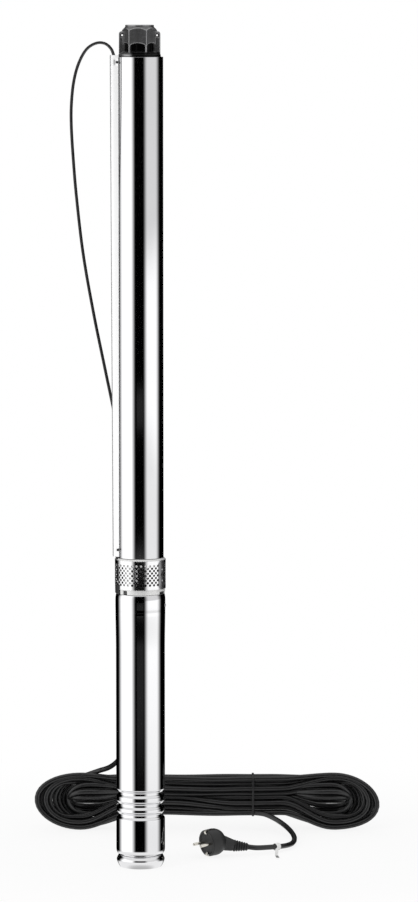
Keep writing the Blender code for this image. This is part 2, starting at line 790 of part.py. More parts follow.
def lead_route():
    """The flat lead from its gland, out over the bracket's rim and up under the guard."""
    outer = LEAD_THICKNESS / 2 + 2 * GAP
    inner = STRAINER_RADIUS - STRAINER_SHEET - 0.0013 - LEAD_THICKNESS / 2 - SHELL_RADIUS
    start = GLAND_CIRCLE - SHELL_RADIUS
    return [
        guard_point(LEAD_SIDE, CASE_TOP + 0.0072, start),
        guard_point(LEAD_SIDE, CASE_TOP + 0.0110, start),
        guard_point(LEAD_SIDE, STRAINER_BOTTOM + 0.0090, inner - 0.0006),
        guard_point(LEAD_SIDE, STRAINER_BOTTOM + 0.0140, inner),
        guard_point(LEAD_SIDE, STRAINER_TOP - 0.0005, inner),
        guard_point(LEAD_SIDE, SHELL_BOTTOM - 0.0005, outer + 0.0002),
        guard_point(LEAD_SIDE, SHELL_BOTTOM + 0.0120, outer),
        guard_point(LEAD_SIDE, GUARD_TOP - 0.0045, outer),
    ]


def guarded_lead():
    """Flat lead held all the way below the guard."""
    route = lead_route()
    across = Vector((math.sin(GUARD_TURN), -math.cos(GUARD_TURN), 0))
    held = bmesh.new()
    loops = []
    for i, place in enumerate(route):
        before = route[max(0, i - 1)]
        after = route[min(len(route) - 1, i + 1)]
        thick = (after - before).normalized().cross(across).normalized()
        half_wide = LEAD_WIDTH / 2
        half_thick = LEAD_THICKNESS / 2
        outline = []
        for corner in range(8):
            a = math.radians(22.5 + 45 * corner)
            wide = max(-1, min(1, 1.42 * math.cos(a))) * half_wide
            high = max(-1, min(1, 1.25 * math.sin(a))) * half_thick
            outline.append(held.verts.new(place + across * wide + thick * high))
        loops.append(outline)
    for low, high in zip(loops, loops[1:]):
        for i in range(8):
            k = (i + 1) % 8
            held.faces.new((low[i], low[k], high[k], high[i]))
    held.faces.new(loops[0][::-1])
    held.faces.new(loops[-1])
    bmesh.ops.recalc_face_normals(held, faces=held.faces)
    mesh = bpy.data.meshes.new("guarded_lead")
    held.to_mesh(mesh)
    held.free()
    placed("guarded_lead", mesh, black)


def stud_azimuth(i):
    """Azimuth of one of the four studs between motor and bracket, counted from 0."""
    return STUD_TURN + math.radians(90 * i)


def suction_bracket():
    """Open casting between pump and motor: two flanges, four columns and a spigot into the shell."""
    spigot = SHELL_RADIUS - SHELL_WALL - GAP
    floor = FLANGE_BOTTOM
    flange_top = floor + FLANGE_THICKNESS
    upper_low = STRAINER_TOP + GAP
    upper_top = SHELL_BOTTOM - GAP
    seat = STRAINER_RADIUS - STRAINER_SHEET - GAP
    bore = STUD_CIRCLE - 0.0062
    lower = ring("suction_bracket", FLANGE_RADIUS, bore, floor, flange_top, steel, CAST_STEPS)
    upper = turned(
        "upper_flange",
        [
            (spigot, upper_top + BRACKET_SPIGOT),
            (spigot, upper_top),
            (UPPER_FLANGE_RADIUS - UPPER_FLANGE_SLOPE, upper_top),
            (UPPER_FLANGE_RADIUS, upper_top - UPPER_FLANGE_SLOPE),
            (UPPER_FLANGE_RADIUS, upper_low),
            (seat, upper_low),
            (seat, upper_low - 0.0035),
            (BRACKET_BORE, upper_low - 0.0035),
            (BRACKET_BORE, upper_top + BRACKET_SPIGOT),
        ],
        steel,
        CAST_STEPS,
    )
    columns = []
    for i in range(4):
        middle = COLUMN_TURN + math.radians(90 * i)
        reach = math.asin(COLUMN_WIDTH / 2 / seat)
        outline = [tuple(around(middle + a, seat, 0))[:2] for a in (-reach, -reach / 2, 0, reach / 2, reach)]
        depth = seat - COLUMN_DEPTH
        outline += [tuple(around(middle + a, depth, 0))[:2] for a in (reach, -reach)]
        columns.append(fixed_mesh(prism(f"column_{i}", [outline], flange_top - 0.004, upper_low + 0.002, steel)))
    combined(lower, merged("columns", columns, steel), "UNION")
    lower = fixed_mesh(lower)
    combined(lower, upper, "UNION")
    lower = fixed_mesh(lower)

    # Pockets over the studs, and the holes below them
    pockets = []
    holes = []
    for i in range(4):
        centre = around(stud_azimuth(i), STUD_CIRCLE, 0)
        pocket = disc(f"pocket_{i}", POCKET_RADIUS, floor + NUT_SEAT, flange_top + 0.0002, steel, 16)
        pocket.location = (centre.x, centre.y, 0)
        hole = disc(f"stud_hole_{i}", STUD_RADIUS + GAP, floor - 0.002, floor + NUT_SEAT + 0.001, steel, 12)
        hole.location = (centre.x, centre.y, 0)
        bpy.context.view_layer.update()
        pockets.append(pocket)
        holes.append(hole)
    combined(lower, merged("pockets", pockets, steel))
    lower = fixed_mesh(lower)
    combined(lower, merged("stud_holes", holes, steel))
    lower = fixed_mesh(lower)

    # A pry slot at the right and a notch before one nut, both open at the rim
    start, end = PRY_SLOT
    turns = [start + (end - start) * i / 6 for i in range(7)]
    outline = [tuple(around(a, FLANGE_RADIUS + 0.002, 0))[:2] for a in turns]
    outline += [tuple(around(a, FLANGE_RADIUS - PRY_SLOT_DEPTH, 0))[:2] for a in reversed(turns)]
    pry = fixed_mesh(prism("pry_slot", [outline], floor - 0.001, floor + PRY_SLOT_HEIGHT, steel))
    notch = disc("rim_notch", RIM_NOTCH_RADIUS, floor - 0.001, floor + RIM_NOTCH_HEIGHT, steel, 12)
    centre = around(stud_azimuth(3), FLANGE_RADIUS, 0)
    notch.location = (centre.x, centre.y, 0)
    bpy.context.view_layer.update()
    combined(lower, merged("rim_cuts", [pry, notch], steel))
    lower = fixed_mesh(lower)

    # Slots in both flanges for the flat lead
    across = LEAD_WIDTH + 0.0035
    held = bmesh.new()
    bmesh.ops.create_cube(held, size=1)
    mesh = bpy.data.meshes.new("lead_slot")
    held.to_mesh(mesh)
    held.free()
    slot = placed("lead_slot", mesh, steel, smooth=False)
    radial = Vector((-math.cos(GUARD_TURN), -math.sin(GUARD_TURN), 0))
    sideways = Vector((math.sin(GUARD_TURN), -math.cos(GUARD_TURN), 0))
    middle = radial * (GLAND_CIRCLE + 0.0060) + sideways * LEAD_SIDE
    turn = Matrix.Rotation(GUARD_TURN, 4, "Z")
    slot_low = FLANGE_BOTTOM - 0.0090
    slot_high = SHELL_BOTTOM + BRACKET_SPIGOT + 0.0040
    size = Matrix.Diagonal((0.0240, across, slot_high - slot_low, 1))
    lift = Matrix.Translation((middle.x, middle.y, (slot_low + slot_high) / 2))
    mesh.transform(lift @ turn @ size)
    combined(lower, slot)
    return fixed_mesh(lower)


def studs():
    """The four studs that hold the motor to the bracket, each with its nut."""
    nut_low = FLANGE_BOTTOM + NUT_SEAT + GAP
    for i in range(4):
        nut = hexagon(NUT_CORNER)
        stud = fixed_mesh(prism(f"flange_stud_{i + 1}", [nut], nut_low, nut_low + NUT_HEIGHT, steel))
        core = disc(f"stud_core_{i}", STUD_RADIUS, CASE_TOP - 0.0140, nut_low + NUT_HEIGHT + 0.0015, steel, 12)
        combined(stud, core, "UNION")
        stud = fixed_mesh(stud)
        centre = around(stud_azimuth(i), STUD_CIRCLE, 0)
        stud.location = (centre.x, centre.y, stud.location.z)


def strainer():
    """Perforated sheet wrapped round the bracket, with a plain lapped end and its screw."""
    held = bmesh.new()
    rise = (STRAINER_TOP - STRAINER_BOTTOM) / STRAINER_ROWS
    grid = []
    for row in range(STRAINER_ROWS + 1):
        height = STRAINER_BOTTOM + rise * row
        grid.append(
            [
                held.verts.new(around(2 * math.pi * i / STRAINER_COLUMNS, STRAINER_RADIUS, height))
                for i in range(STRAINER_COLUMNS)
            ]
        )
    plain = STRAINER_TAB_WIDTH / 2 / STRAINER_RADIUS
    for row in range(STRAINER_ROWS):
        for i in range(STRAINER_COLUMNS):
            k = (i + 1) % STRAINER_COLUMNS
            off = (2 * math.pi * (i + 0.5) / STRAINER_COLUMNS - COLUMN_TURN + math.pi) % (2 * math.pi) - math.pi
            open_row = row % 2 == 1
            open_column = i % 2 == (row // 2) % 2
            if open_row and open_column and abs(off) > plain:
                continue
            held.faces.new((grid[row][i], grid[row][k], grid[row + 1][k], grid[row + 1][i]))
    mesh = bpy.data.meshes.new("strainer")
    held.to_mesh(mesh)
    held.free()
    wrap = placed("strainer", mesh, sheet)
    skin = wrap.modifiers.new("sheet", "SOLIDIFY")
    skin.thickness = STRAINER_SHEET
    skin.offset = -1
    wrap = fixed_mesh(wrap)
    height = (STRAINER_TOP + STRAINER_BOTTOM) / 2
    seat = around(COLUMN_TURN, STRAINER_RADIUS, height)
    out = Vector((seat.x, seat.y, 0)).normalized()
    turn = Matrix.Translation(seat) @ out.to_track_quat("Z", "Y").to_matrix().to_4x4()
    hole = disc("strainer_hole", 0.0018, -0.004, 0.004, sheet, 12)
    hole.matrix_world = turn
    combined(wrap, hole)
    fixed_mesh(wrap)
    screw = turned(
        "strainer_screw",
        [(0, 0.0022), (0.0018, 0.0019), (0.0030, GAP), (0.0015, GAP), (0.0015, -STRAINER_SHEET), (0, -STRAINER_SHEET)],
        steel,
        12,
    )
    screw.matrix_world = turn


def motor_shell():
    """Polished case: rolled in over the bells, a proud band, a shallow groove and three deep ones low down."""
    band = CASE_RADIUS + BAND_PROUD
    low = CASE_TOP - CASE_SHOULDER
    outside = [(band - CASE_ROLL, CASE_TOP)]
    for angle in (50, 0):
        a = math.radians(angle)
        outside.append((band - CASE_ROLL * (1 - math.cos(a)), low + CASE_SHOULDER * math.sin(a)))
    outside += [(band, low - BAND_LENGTH), (CASE_RADIUS, low - BAND_LENGTH - BAND_PROUD)]
    inside = [(band - CASE_WALL - CASE_ROLL, CASE_TOP)]
    inside.append((CASE_RADIUS - CASE_WALL, CASE_TOP - CASE_SHOULDER))
    rolled = [(TOP_GROOVE_HEIGHT, TOP_GROOVE_DEPTH, TOP_GROOVE_HALF)]
    rolled += [(height, GROOVE_DEPTH, GROOVE_HALF) for height in GROOVE_HEIGHTS]
    for height, depth, half in rolled:
        outside += [
            (CASE_RADIUS, height + half),
            (CASE_RADIUS - depth, height + 0.25 * half),
            (CASE_RADIUS - depth, height - 0.25 * half),
            (CASE_RADIUS, height - half),
        ]
        inside += [
            (CASE_RADIUS - CASE_WALL, height + half),
            (CASE_RADIUS - CASE_WALL - depth, height),
            (CASE_RADIUS - CASE_WALL, height - half),
        ]
    neck = CASE_RADIUS - 0.0024
    outside += [
        (CASE_RADIUS, CASE_BOTTOM + FOOT_ROUND),
        (CASE_RADIUS - 0.0007, CASE_BOTTOM + 0.45 * FOOT_ROUND),
        (neck, CASE_BOTTOM),
    ]
    inside += [
        (CASE_RADIUS - CASE_WALL, CASE_BOTTOM + FOOT_ROUND + 0.001),
        (CASE_RADIUS - CASE_WALL - 0.0012, CASE_BOTTOM + 0.4 * FOOT_ROUND),
        (CASE_RADIUS - CASE_WALL - 0.0012, CASE_BOTTOM),
    ]
    return turned("motor_shell", outside + inside[::-1], steel, SHELL_STEPS)


def base_cap():
    """Flat-footed cap below the case, with a spigot into it and room for the capacitor."""
    top = CASE_BOTTOM - GAP * 4
    spigot = CASE_RADIUS - CASE_WALL - 0.0012 - GAP
    neck = spigot - 0.0010
    inner = spigot - 0.0040
    corner = [(CAP_RADIUS - CAP_EDGE + x, CAP_EDGE + y) for x, y in arc(CAP_EDGE, 0, -math.pi / 2, 4)]
    profile = [
        (spigot, top + CAP_SPIGOT),
        (spigot, top + 0.0015),
        (neck, top),
        (CAP_RADIUS - 0.0028, top - 0.0012),
        (CAP_RADIUS, top - 0.0045),
        *corner,
        (0, 0),
        (0, CAP_FLOOR),
        (inner, CAP_FLOOR),
        (inner, top + CAP_SPIGOT),
    ]
    return turned("base_cap", profile, steel, SHELL_STEPS)


def motor_inside():
    """Everything in the motor's case, from the capacitor up to the shaft seal and the lead's gland."""
    room = CASE_RADIUS - CASE_WALL - GAP
    narrow = CASE_RADIUS - CASE_WALL - GROOVE_DEPTH - GAP
    cap_top = CASE_BOTTOM - GAP * 4 + CAP_SPIGOT
    disc("run_capacitor", 0.0150, CAP_FLOOR + GAP, 0.0460, sheet)

    # Rubber diaphragm that lets the motor's filling swell
    fold = cap_top + 0.0165
    turned(
        "diaphragm",
        [
            (narrow - 0.001, fold + 0.010),
            (narrow - 0.001, fold + 0.007),
            (narrow - 0.006, fold + 0.002),
            (0, fold + 0.002),
            (0, fold + 0.004),
            (narrow - 0.007, fold + 0.004),
            (narrow - 0.004, fold + 0.0085),
            (narrow - 0.004, fold + 0.010),
        ],
        black,
    )
    bell_bottom = fold + 0.010 + GAP
    bell_top = STATOR_BOTTOM - WINDING_HEIGHT - 0.004
    flange = GROOVE_HEIGHTS[0] + GROOVE_HALF + 0.002
    bush = bore_for(SHAFT_RADIUS) + BUSH_WALL
    pocket = 0.0200
    plate = bell_bottom + 0.005
    pocket_top = bell_top - BUSH_LENGTH - 0.004
    turned(
        "lower_end_bell",
        [
            (room, bell_top),
            (room, flange),
            (narrow, flange),
            (narrow, bell_bottom),
            (0.008, bell_bottom),
            (0.008, plate),
            (pocket, plate),
            (pocket, pocket_top),
            (bore_for(bush, BELL_STEPS), pocket_top),
            (bore_for(bush, BELL_STEPS), bell_top),
        ],
        cast,
        BELL_STEPS,
    )
    pads_top = plate + GAP + 0.0120
    ring("thrust_bearing", pocket - 0.0008, 0.0085, plate + GAP, pads_top, carbon)
    disc_top = pads_top + GAP + 0.0090
    ring("thrust_disc", pocket - 0.0015, bore_for(SHAFT_RADIUS), pads_top + GAP, disc_top, steel)
    bush_low = bell_top - BUSH_LENGTH
    ring("lower_bearing", bush, bore_for(SHAFT_RADIUS), bush_low, bell_top, carbon)

    stack_top = STATOR_BOTTOM + STATOR_LENGTH
    ring("stator_core", room, STATOR_BORE, STATOR_BOTTOM, stack_top, iron, SHELL_STEPS)
    for name, low in (("winding_lower", STATOR_BOTTOM - GAP - WINDING_HEIGHT), ("winding_upper", stack_top + GAP)):
        high = low + WINDING_HEIGHT
        inner = STATOR_BORE + 0.002
        outer = room - 0.002
        turned(
            name,
            [
                (outer - 0.003, high),
                (outer, high - 0.005),
                (outer, low + 0.005),
                (outer - 0.003, low),
                (inner + 0.002, low),
                (inner, low + 0.005),
                (inner, high - 0.005),
                (inner + 0.002, high),
            ],
            copper,
        )
    ring("rotor_core", STATOR_BORE - AIR_GAP, SHAFT_RADIUS + GAP, STATOR_BOTTOM, stack_top, iron, SHELL_STEPS)

    # Upper bell with its bearing, the studs' holes and the shaft seal on top
    bell_low = CASE_TOP - BELL_LENGTH
    waist = CASE_RADIUS - CASE_WALL - TOP_GROOVE_DEPTH - GAP
    crown = CASE_RADIUS + BAND_PROUD - CASE_WALL - CASE_ROLL - GAP
    seal_floor = CASE_TOP - 0.0120
    groove_low = TOP_GROOVE_HEIGHT - TOP_GROOVE_HALF - 0.001
    bell = turned(
        "upper_end_bell",
        [
            (crown, CASE_TOP),
            (waist - 0.001, CASE_TOP - CASE_SHOULDER),
            (waist, CASE_TOP - CASE_SHOULDER - 0.003),
            (waist, groove_low),
            (room, groove_low),
            (room, bell_low),
            (bore_for(bush, BELL_STEPS), bell_low),
            (bore_for(bush, BELL_STEPS), seal_floor - 0.0040),
            (SHAFT_RADIUS + 0.0012, seal_floor - 0.0040),
            (SHAFT_RADIUS + 0.0012, seal_floor),
            (bore_for(SEAL_RADIUS, BELL_STEPS), seal_floor),
            (bore_for(SEAL_RADIUS, BELL_STEPS), CASE_TOP),
        ],
        cast,
        BELL_STEPS,
    )
    holes = []
    for i in range(4):
        centre = around(stud_azimuth(i), STUD_CIRCLE, 0)
        hole = disc(f"tapped_hole_{i}", STUD_RADIUS + GAP, CASE_TOP - 0.0145, CASE_TOP + 0.004, cast, 12)
        hole.location = (centre.x, centre.y, 0)
        holes.append(hole)
    middle = lead_route()[0]
    socket = disc("gland_socket", GLAND_RADIUS + GAP, CASE_TOP - 0.0100, CASE_TOP + 0.004, cast, 16)
    socket.location = (middle.x, middle.y, 0)
    bpy.context.view_layer.update()
    holes.append(socket)
    combined(bell, merged("tapped_holes", holes, cast))
    fixed_mesh(bell)
    top = bell_low + BUSH_LENGTH
    ring("upper_bearing", bush, bore_for(SHAFT_RADIUS), bell_low, top, carbon)
    seat_top = seal_floor + GAP + 0.0045
    ring("seal_seat", SEAL_RADIUS, SHAFT_RADIUS + 0.0012, seal_floor + GAP, seat_top, ceramic)
    ring("seal_head", SEAL_RADIUS - 0.0015, bore_for(SHAFT_RADIUS), seat_top + GAP, CASE_TOP + 0.0010, black)
    slinger = CASE_TOP + 0.0016
    ring("sand_slinger", SEAL_RADIUS + 0.0035, bore_for(SHAFT_RADIUS), slinger, slinger + 0.0045, black)
    joint = COUPLING_BOTTOM + COUPLING_LENGTH / 2
    disc("motor_shaft", SHAFT_RADIUS, disc_top - 0.0085, joint - GAP, steel)

    lead_low = middle.z
    turned(
        "lead_gland",
        [
            (GLAND_RADIUS, CASE_TOP + 0.0040),
            (GLAND_RADIUS, CASE_TOP - 0.0100 + GAP),
            (0, CASE_TOP - 0.0100 + GAP),
            (0, lead_low - GAP),
            (0.0040, lead_low - GAP),
        ],
        black,
        16,
    ).location = (middle.x, middle.y, 0)


# Routes of the cords in metres: from the guard over to the left and down behind the pump, then along the
# ground to the hank, and from the hank round to the plug
LEAD_ROUTE = (
    (-0.0395, -0.0113, SHELL_TOP - 0.0008),
    (-0.0440, -0.0120, SHELL_TOP + 0.0120),
    (-0.0540, -0.0125, SHELL_TOP + 0.0210),
    (-0.0680, -0.0125, SHELL_TOP + 0.0215),
    (-0.0830, -0.0120, SHELL_TOP + 0.0120),
    (-0.0950, -0.0110, SHELL_TOP - 0.0090),
    (-0.1030, -0.0090, SHELL_TOP - 0.0370),
    (-0.1070, -0.0060, SHELL_TOP - 0.0720),
    (-0.1075, -0.0020, SHELL_TOP - 0.1070),
    (-0.1050, 0.0060, 1.1300),
    (-0.1000, 0.0160, 1.0650),
    (-0.0900, 0.0280, 0.9750),
    (-0.0740, 0.0400, 0.8800),
    (-0.0560, 0.0470, 0.7900),
    (-0.0380, 0.0510, 0.7000),
    (-0.0220, 0.0520, 0.6000),
    (-0.0140, 0.0520, 0.4900),
    (-0.0120, 0.0540, 0.4040),
)
DROP_ROUTE = (
    (-0.0120, 0.0600, 0.3200),
    (-0.0130, 0.0680, 0.2750),
    (-0.0160, 0.0860, 0.2300),
    (-0.0210, 0.1200, 0.1850),
    (-0.0270, 0.1700, 0.1500),
    (-0.0350, 0.2300, 0.1230),
    (-0.0460, 0.2850, 0.1070),
    (-0.0620, 0.3230, 0.0985),
    (-0.0850, 0.3380, 0.0972),
)
TAIL_ROUTE = (
    (0.1960, 0.3190, 0.0310),
    (0.2000, 0.3080, 0.0240),
    (0.2120, 0.2890, 0.0130),
    (0.2300, 0.2580, 0.0065),
    (0.2450, 0.2200, 0.0048),
    (0.2490, 0.1850, 0.0048),
    (0.2430, 0.1500, 0.0048),
    (0.2280, 0.1220, 0.0058),
    (0.2080, 0.1060, 0.0080),
    (0.1870, 0.0990, 0.0108),
    (0.1720, 0.0960, 0.0128),
)


def splice_ends():
    """Where the splice begins under the lead and where it ends over the drop cable."""
    top = Vector(LEAD_ROUTE[-1])
    bottom = Vector(DROP_ROUTE[0])
    along = (bottom - top).normalized()
    return top + along * GAP, bottom - along * GAP, along


def cords():
    """The lead's free stretch, the splice, the drop cable and the tail that leads to the plug."""
    tube("free_lead", smooth_route(LEAD_ROUTE, 0.0125), LEAD_THICKNESS / 2, black)
    top, bottom, along = splice_ends()
    taper = 0.012
    stops = [
        (top, LEAD_THICKNESS / 2 + 0.001),
        (top + along * taper, SPLICE_RADIUS),
        (bottom - along * taper, SPLICE_RADIUS),
        (bottom, CABLE_RADIUS + 0.0008),
    ]
    length = (bottom - top).length
    profile = [(0, length), (stops[3][1], length), (stops[2][1], length - taper), (stops[1][1], taper)]
    profile += [(stops[0][1], 0), (0, 0)]
    sleeve = turned("lead_splice", profile, black, 12)
    sleeve.matrix_world = Matrix.Translation(top) @ along.to_track_quat("Z", "Y").to_matrix().to_4x4()
    tube("drop_cable", smooth_route(DROP_ROUTE, 0.016), CABLE_RADIUS, black)
    tube("cable_tail", smooth_route(TAIL_ROUTE, 0.014), CABLE_RADIUS, black)


def hank():
    """Outer shape of the flat hank on edge behind the pump, and the tie round it."""
    lobe_high = HANK_LOBE_HIGH - HANK_LOBE_LOW
    middle = (HANK_LOBE_HIGH + HANK_LOBE_LOW) / 2
    half = lobe_high / 2
    left = HANK_LEFT + half
    right = HANK_RIGHT - half
    waist_left = left + HANK_LOBE_REACH
    waist_right = right - HANK_LOBE_REACH
    outline = [(waist_left, HANK_BAND_LOW), (waist_right, HANK_BAND_LOW)]
    outline += arc(half, -math.pi / 2, math.pi / 2, 9, (right, middle))
    outline += [(waist_right, HANK_BAND_HIGH), (waist_left, HANK_BAND_HIGH)]
    outline += arc(half, math.pi / 2, 1.5 * math.pi, 9, (left, middle))
    body = fixed_mesh(prism("cable_hank", [outline], -HANK_DEPTH / 2, HANK_DEPTH / 2, black))
    body.matrix_world = Matrix.Translation((0, HANK_BACK, 0)) @ Matrix.Rotation(math.radians(90), 4, "X")

    inner_high = HANK_BAND_HIGH + GAP
    inner_low = HANK_BAND_LOW - GAP
    deep = HANK_DEPTH / 2 + GAP
    outer_loop = [
        (-deep - TIE_THICKNESS, inner_low - TIE_THICKNESS),
        (deep + TIE_THICKNESS, inner_low - TIE_THICKNESS),
        (deep + TIE_THICKNESS, inner_high + TIE_THICKNESS),
        (-deep - TIE_THICKNESS, inner_high + TIE_THICKNESS),
    ]
    inner_loop = [(-deep, inner_low), (deep, inner_low), (deep, inner_high), (-deep, inner_high)]
    tie = fixed_mesh(prism("hank_tie", [outer_loop, inner_loop], -TIE_WIDTH / 2, TIE_WIDTH / 2, black))
    stand = Matrix.Rotation(math.radians(90), 4, "Z") @ Matrix.Rotation(math.radians(90), 4, "X")
    tie.matrix_world = Matrix.Translation((TIE_PLACE, HANK_BACK, 0)) @ stand


def plug():
    """Angled two-pin plug lying on the ground, with a ribbed strain relief at its cable."""
    cable_end = Vector(TAIL_ROUTE[-1])
    back = (cable_end - Vector(TAIL_ROUTE[-2])).normalized()
    relief = [(0, 0.0250), (0.0058, 0.0250)]
    for rib in range(5):
        low = 0.0215 - rib * 0.0045
        relief += [(0.0062 + 0.0003 * rib, low), (0.0050 + 0.0003 * rib, low - 0.0015)]
    relief += [(0.0068, 0), (0, 0)]
    sleeve = turned("strain_relief", relief, black, 12)
    seat = cable_end + back * (0.0250 + GAP)
    turn = (-back).to_track_quat("Z", "Y").to_matrix().to_4x4()
    sleeve.matrix_world = Matrix.Translation(seat) @ turn

    # The round face leans left and toward the viewer, and the cable leaves from behind it
    face_out = Vector((-0.80, -0.56, -0.08)).normalized()
    centre = seat + back * PLUG_REACH
    centre.z = PLUG_RADIUS + 0.0020
    stand = Matrix.Translation(centre) @ face_out.to_track_quat("Z", "Y").to_matrix().to_4x4()
    body = turned(
        "plug_body",
        [
            (0, PLUG_FRONT),
            (PLUG_RADIUS - 0.0015, PLUG_FRONT),
            (PLUG_RADIUS, PLUG_FRONT - 0.0015),
            (PLUG_RADIUS, 0.0020),
            (PLUG_RADIUS - 0.0030, -0.0060),
            (PLUG_RADIUS - 0.0085, -0.0110),
            (0, -PLUG_BACK),
        ],
        black,
        24,
    )
    body.matrix_world = stand
    start = seat - back * 0.0012
    way = centre - start
    profile = [(0, way.length), (PLUG_SHOULDER, way.length), (PLUG_NECK, 0), (0, 0)]
    neck = turned("plug_neck", profile, black, 16)
    neck.matrix_world = Matrix.Translation(start) @ way.to_track_quat("Z", "Y").to_matrix().to_4x4()
    combined(body, neck, "UNION")
    body = fixed_mesh(body)
    combined(body, sleeve, "UNION")
    fixed_mesh(body)
    for i, side in enumerate((-PIN_SIDE, PIN_SIDE)):
        pin = disc(f"plug_pin_{i + 1}", PIN_RADIUS, PLUG_FRONT + GAP, PLUG_FRONT + PIN_LENGTH, steel, 12)
        pin.matrix_world = stand @ Matrix.Translation((side, 0, 0))


def cable_tag():
    """White band on the tail with a short hanging strip."""
    points = [Vector(p) for p in TAIL_ROUTE]
    place = points[8].lerp(points[7], 0.35)
    along = (points[8] - points[7]).normalized()
    tag = ring("cable_tag", CABLE_RADIUS + 0.0020, CABLE_RADIUS + 0.0010, -0.0040, 0.0040, white, 16)
    tag.matrix_world = Matrix.Translation(place) @ along.to_track_quat("Z", "Y").to_matrix().to_4x4()


discharge_head()
check_valve()
pump_shell()
bowl_stack()
pump_rotor()
top_bearing()
cable_guard()
guarded_lead()
suction_bracket()
studs()
strainer()
motor_shell()
base_cap()
motor_inside()
cords()
hank()
plug()
cable_tag()
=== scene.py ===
"""Looks of the borehole submersible pump on a pale studio floor.

Metres, +Z up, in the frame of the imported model: the origin is the centre of the motor's flat foot.
"""

import math

import bmesh
import bpy
import numpy as np
from mathutils import Matrix, Vector


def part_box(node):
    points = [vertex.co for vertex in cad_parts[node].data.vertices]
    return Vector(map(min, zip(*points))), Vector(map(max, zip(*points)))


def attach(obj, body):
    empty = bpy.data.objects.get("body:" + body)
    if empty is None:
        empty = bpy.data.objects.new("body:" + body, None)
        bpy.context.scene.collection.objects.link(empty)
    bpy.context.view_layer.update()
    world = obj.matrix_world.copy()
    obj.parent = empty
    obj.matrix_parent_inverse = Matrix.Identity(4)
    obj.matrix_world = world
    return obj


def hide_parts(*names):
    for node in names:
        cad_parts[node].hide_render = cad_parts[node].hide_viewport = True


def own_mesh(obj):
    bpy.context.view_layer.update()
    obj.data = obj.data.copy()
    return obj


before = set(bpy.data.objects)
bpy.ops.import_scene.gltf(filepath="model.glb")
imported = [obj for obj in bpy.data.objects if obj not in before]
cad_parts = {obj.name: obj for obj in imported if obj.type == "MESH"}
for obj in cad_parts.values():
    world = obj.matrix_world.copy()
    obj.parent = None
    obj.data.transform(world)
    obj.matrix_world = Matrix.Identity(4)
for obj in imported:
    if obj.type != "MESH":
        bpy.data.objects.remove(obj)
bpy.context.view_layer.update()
scene = bpy.context.scene

# Heights of the outer pieces' joints
CASE_BOTTOM = 0.0215
FLANGE_BOTTOM = 0.4392
STRAINER_BOTTOM = 0.4515
STRAINER_TOP = 0.4868
SHELL_BOTTOM = 0.4965
SHELL_TOP = 1.2870
HEAD_TOP = 1.3370
CASE_TOP = FLANGE_BOTTOM - 0.0003

# Radii
SHELL_RADIUS = 0.0370
CASE_RADIUS = 0.0388
FLANGE_RADIUS = 0.0392
STRAINER_RADIUS = 0.0395
WALL = 0.0015

# Strainer sheet, whose plain margins lap over the bracket's flanges
SHEET_RADIUS = 0.0403
SHEET_FOOT = 0.4475
SHEET_TOP = 0.4930
SHEET_MIDDLE = (SHEET_FOOT + SHEET_TOP) / 2
SHEET_THICKNESS = 0.0006
LEAD_GAP = math.radians(-72)
BOOT_HALF = math.radians(17)

# Discharge head
HEX_TURN = math.radians(-6.4)
HEX_CORNER = 0.0279
RING_RADIUS = 0.0225
RING_HEIGHT = 0.0035
NECK_RADIUS = 0.0192
EAR_REACH = 0.0325
EAR_TOP = 0.0100
EAR_HALF = 0.0040
RECESS_HALF = 0.0120
HEAD_FLANGE = SHELL_TOP + 0.0065
TIPPED = Matrix.Rotation(math.radians(90), 4, "X")

# Motor case
GROOVES = (0.1198, 0.1012, 0.0846)
GROOVE_DEPTH = 0.0031
BEAD_HALF = 0.0067
TOP_GROOVE = 0.4108

# Cable guard
GUARD_TURN = math.radians(16.0)
GUARD_OUT = Vector((-math.cos(GUARD_TURN), -math.sin(GUARD_TURN), 0))
GUARD_ACROSS = Vector((math.sin(GUARD_TURN), -math.cos(GUARD_TURN), 0))
GUARD_TOP = 1.2899
GUARD_BOTTOM = 0.4985
GUARD_HALF_WIDTH = 0.0092
GUARD_SHEET = 0.0010
GUARD_SCREWS = (GUARD_TOP - 0.0110, GUARD_BOTTOM + 0.0110)
GUARD_SCREW_SIDE = 0.0070

# Suction bracket
STUD_CIRCLE = 0.0310
STUD_TURN = math.radians(40.0)
COLUMN_TURN = math.radians(59.0)

# Cords
CABLE_RADIUS = 0.0042
CABLE_STEP = 0.0075
LEAD_WIDTH = 0.0080
LEAD_THICKNESS = 0.0042
LEAD_ROUTE = (
    (-0.0395, -0.0113, 1.2862),
    (-0.0440, -0.0120, 1.2990),
    (-0.0540, -0.0125, 1.3080),
    (-0.0680, -0.0125, 1.3085),
    (-0.0830, -0.0120, 1.2990),
    (-0.0950, -0.0110, 1.2780),
    (-0.1030, -0.0090, 1.2500),
    (-0.1070, -0.0060, 1.2150),
    (-0.1075, -0.0020, 1.1800),
    (-0.1050, 0.0060, 1.1300),
    (-0.1000, 0.0160, 1.0650),
    (-0.0900, 0.0280, 0.9750),
    (-0.0740, 0.0400, 0.8800),
    (-0.0560, 0.0470, 0.7900),
    (-0.0380, 0.0510, 0.7000),
    (-0.0220, 0.0520, 0.6000),
    (-0.0140, 0.0520, 0.4900),
    (-0.0120, 0.0540, 0.4040),
)
DROP_ROUTE = (
    (-0.0120, 0.0600, 0.3200),
    (-0.0130, 0.0680, 0.2750),
    (-0.0160, 0.0860, 0.2300),
    (-0.0210, 0.1200, 0.1850),
    (-0.0270, 0.1700, 0.1580),
    (-0.0350, 0.2300, 0.1380),
    (-0.0460, 0.2850, 0.1185),
    (-0.0580, 0.3120, 0.1065),
    (-0.0730, 0.3290, 0.0990),
)
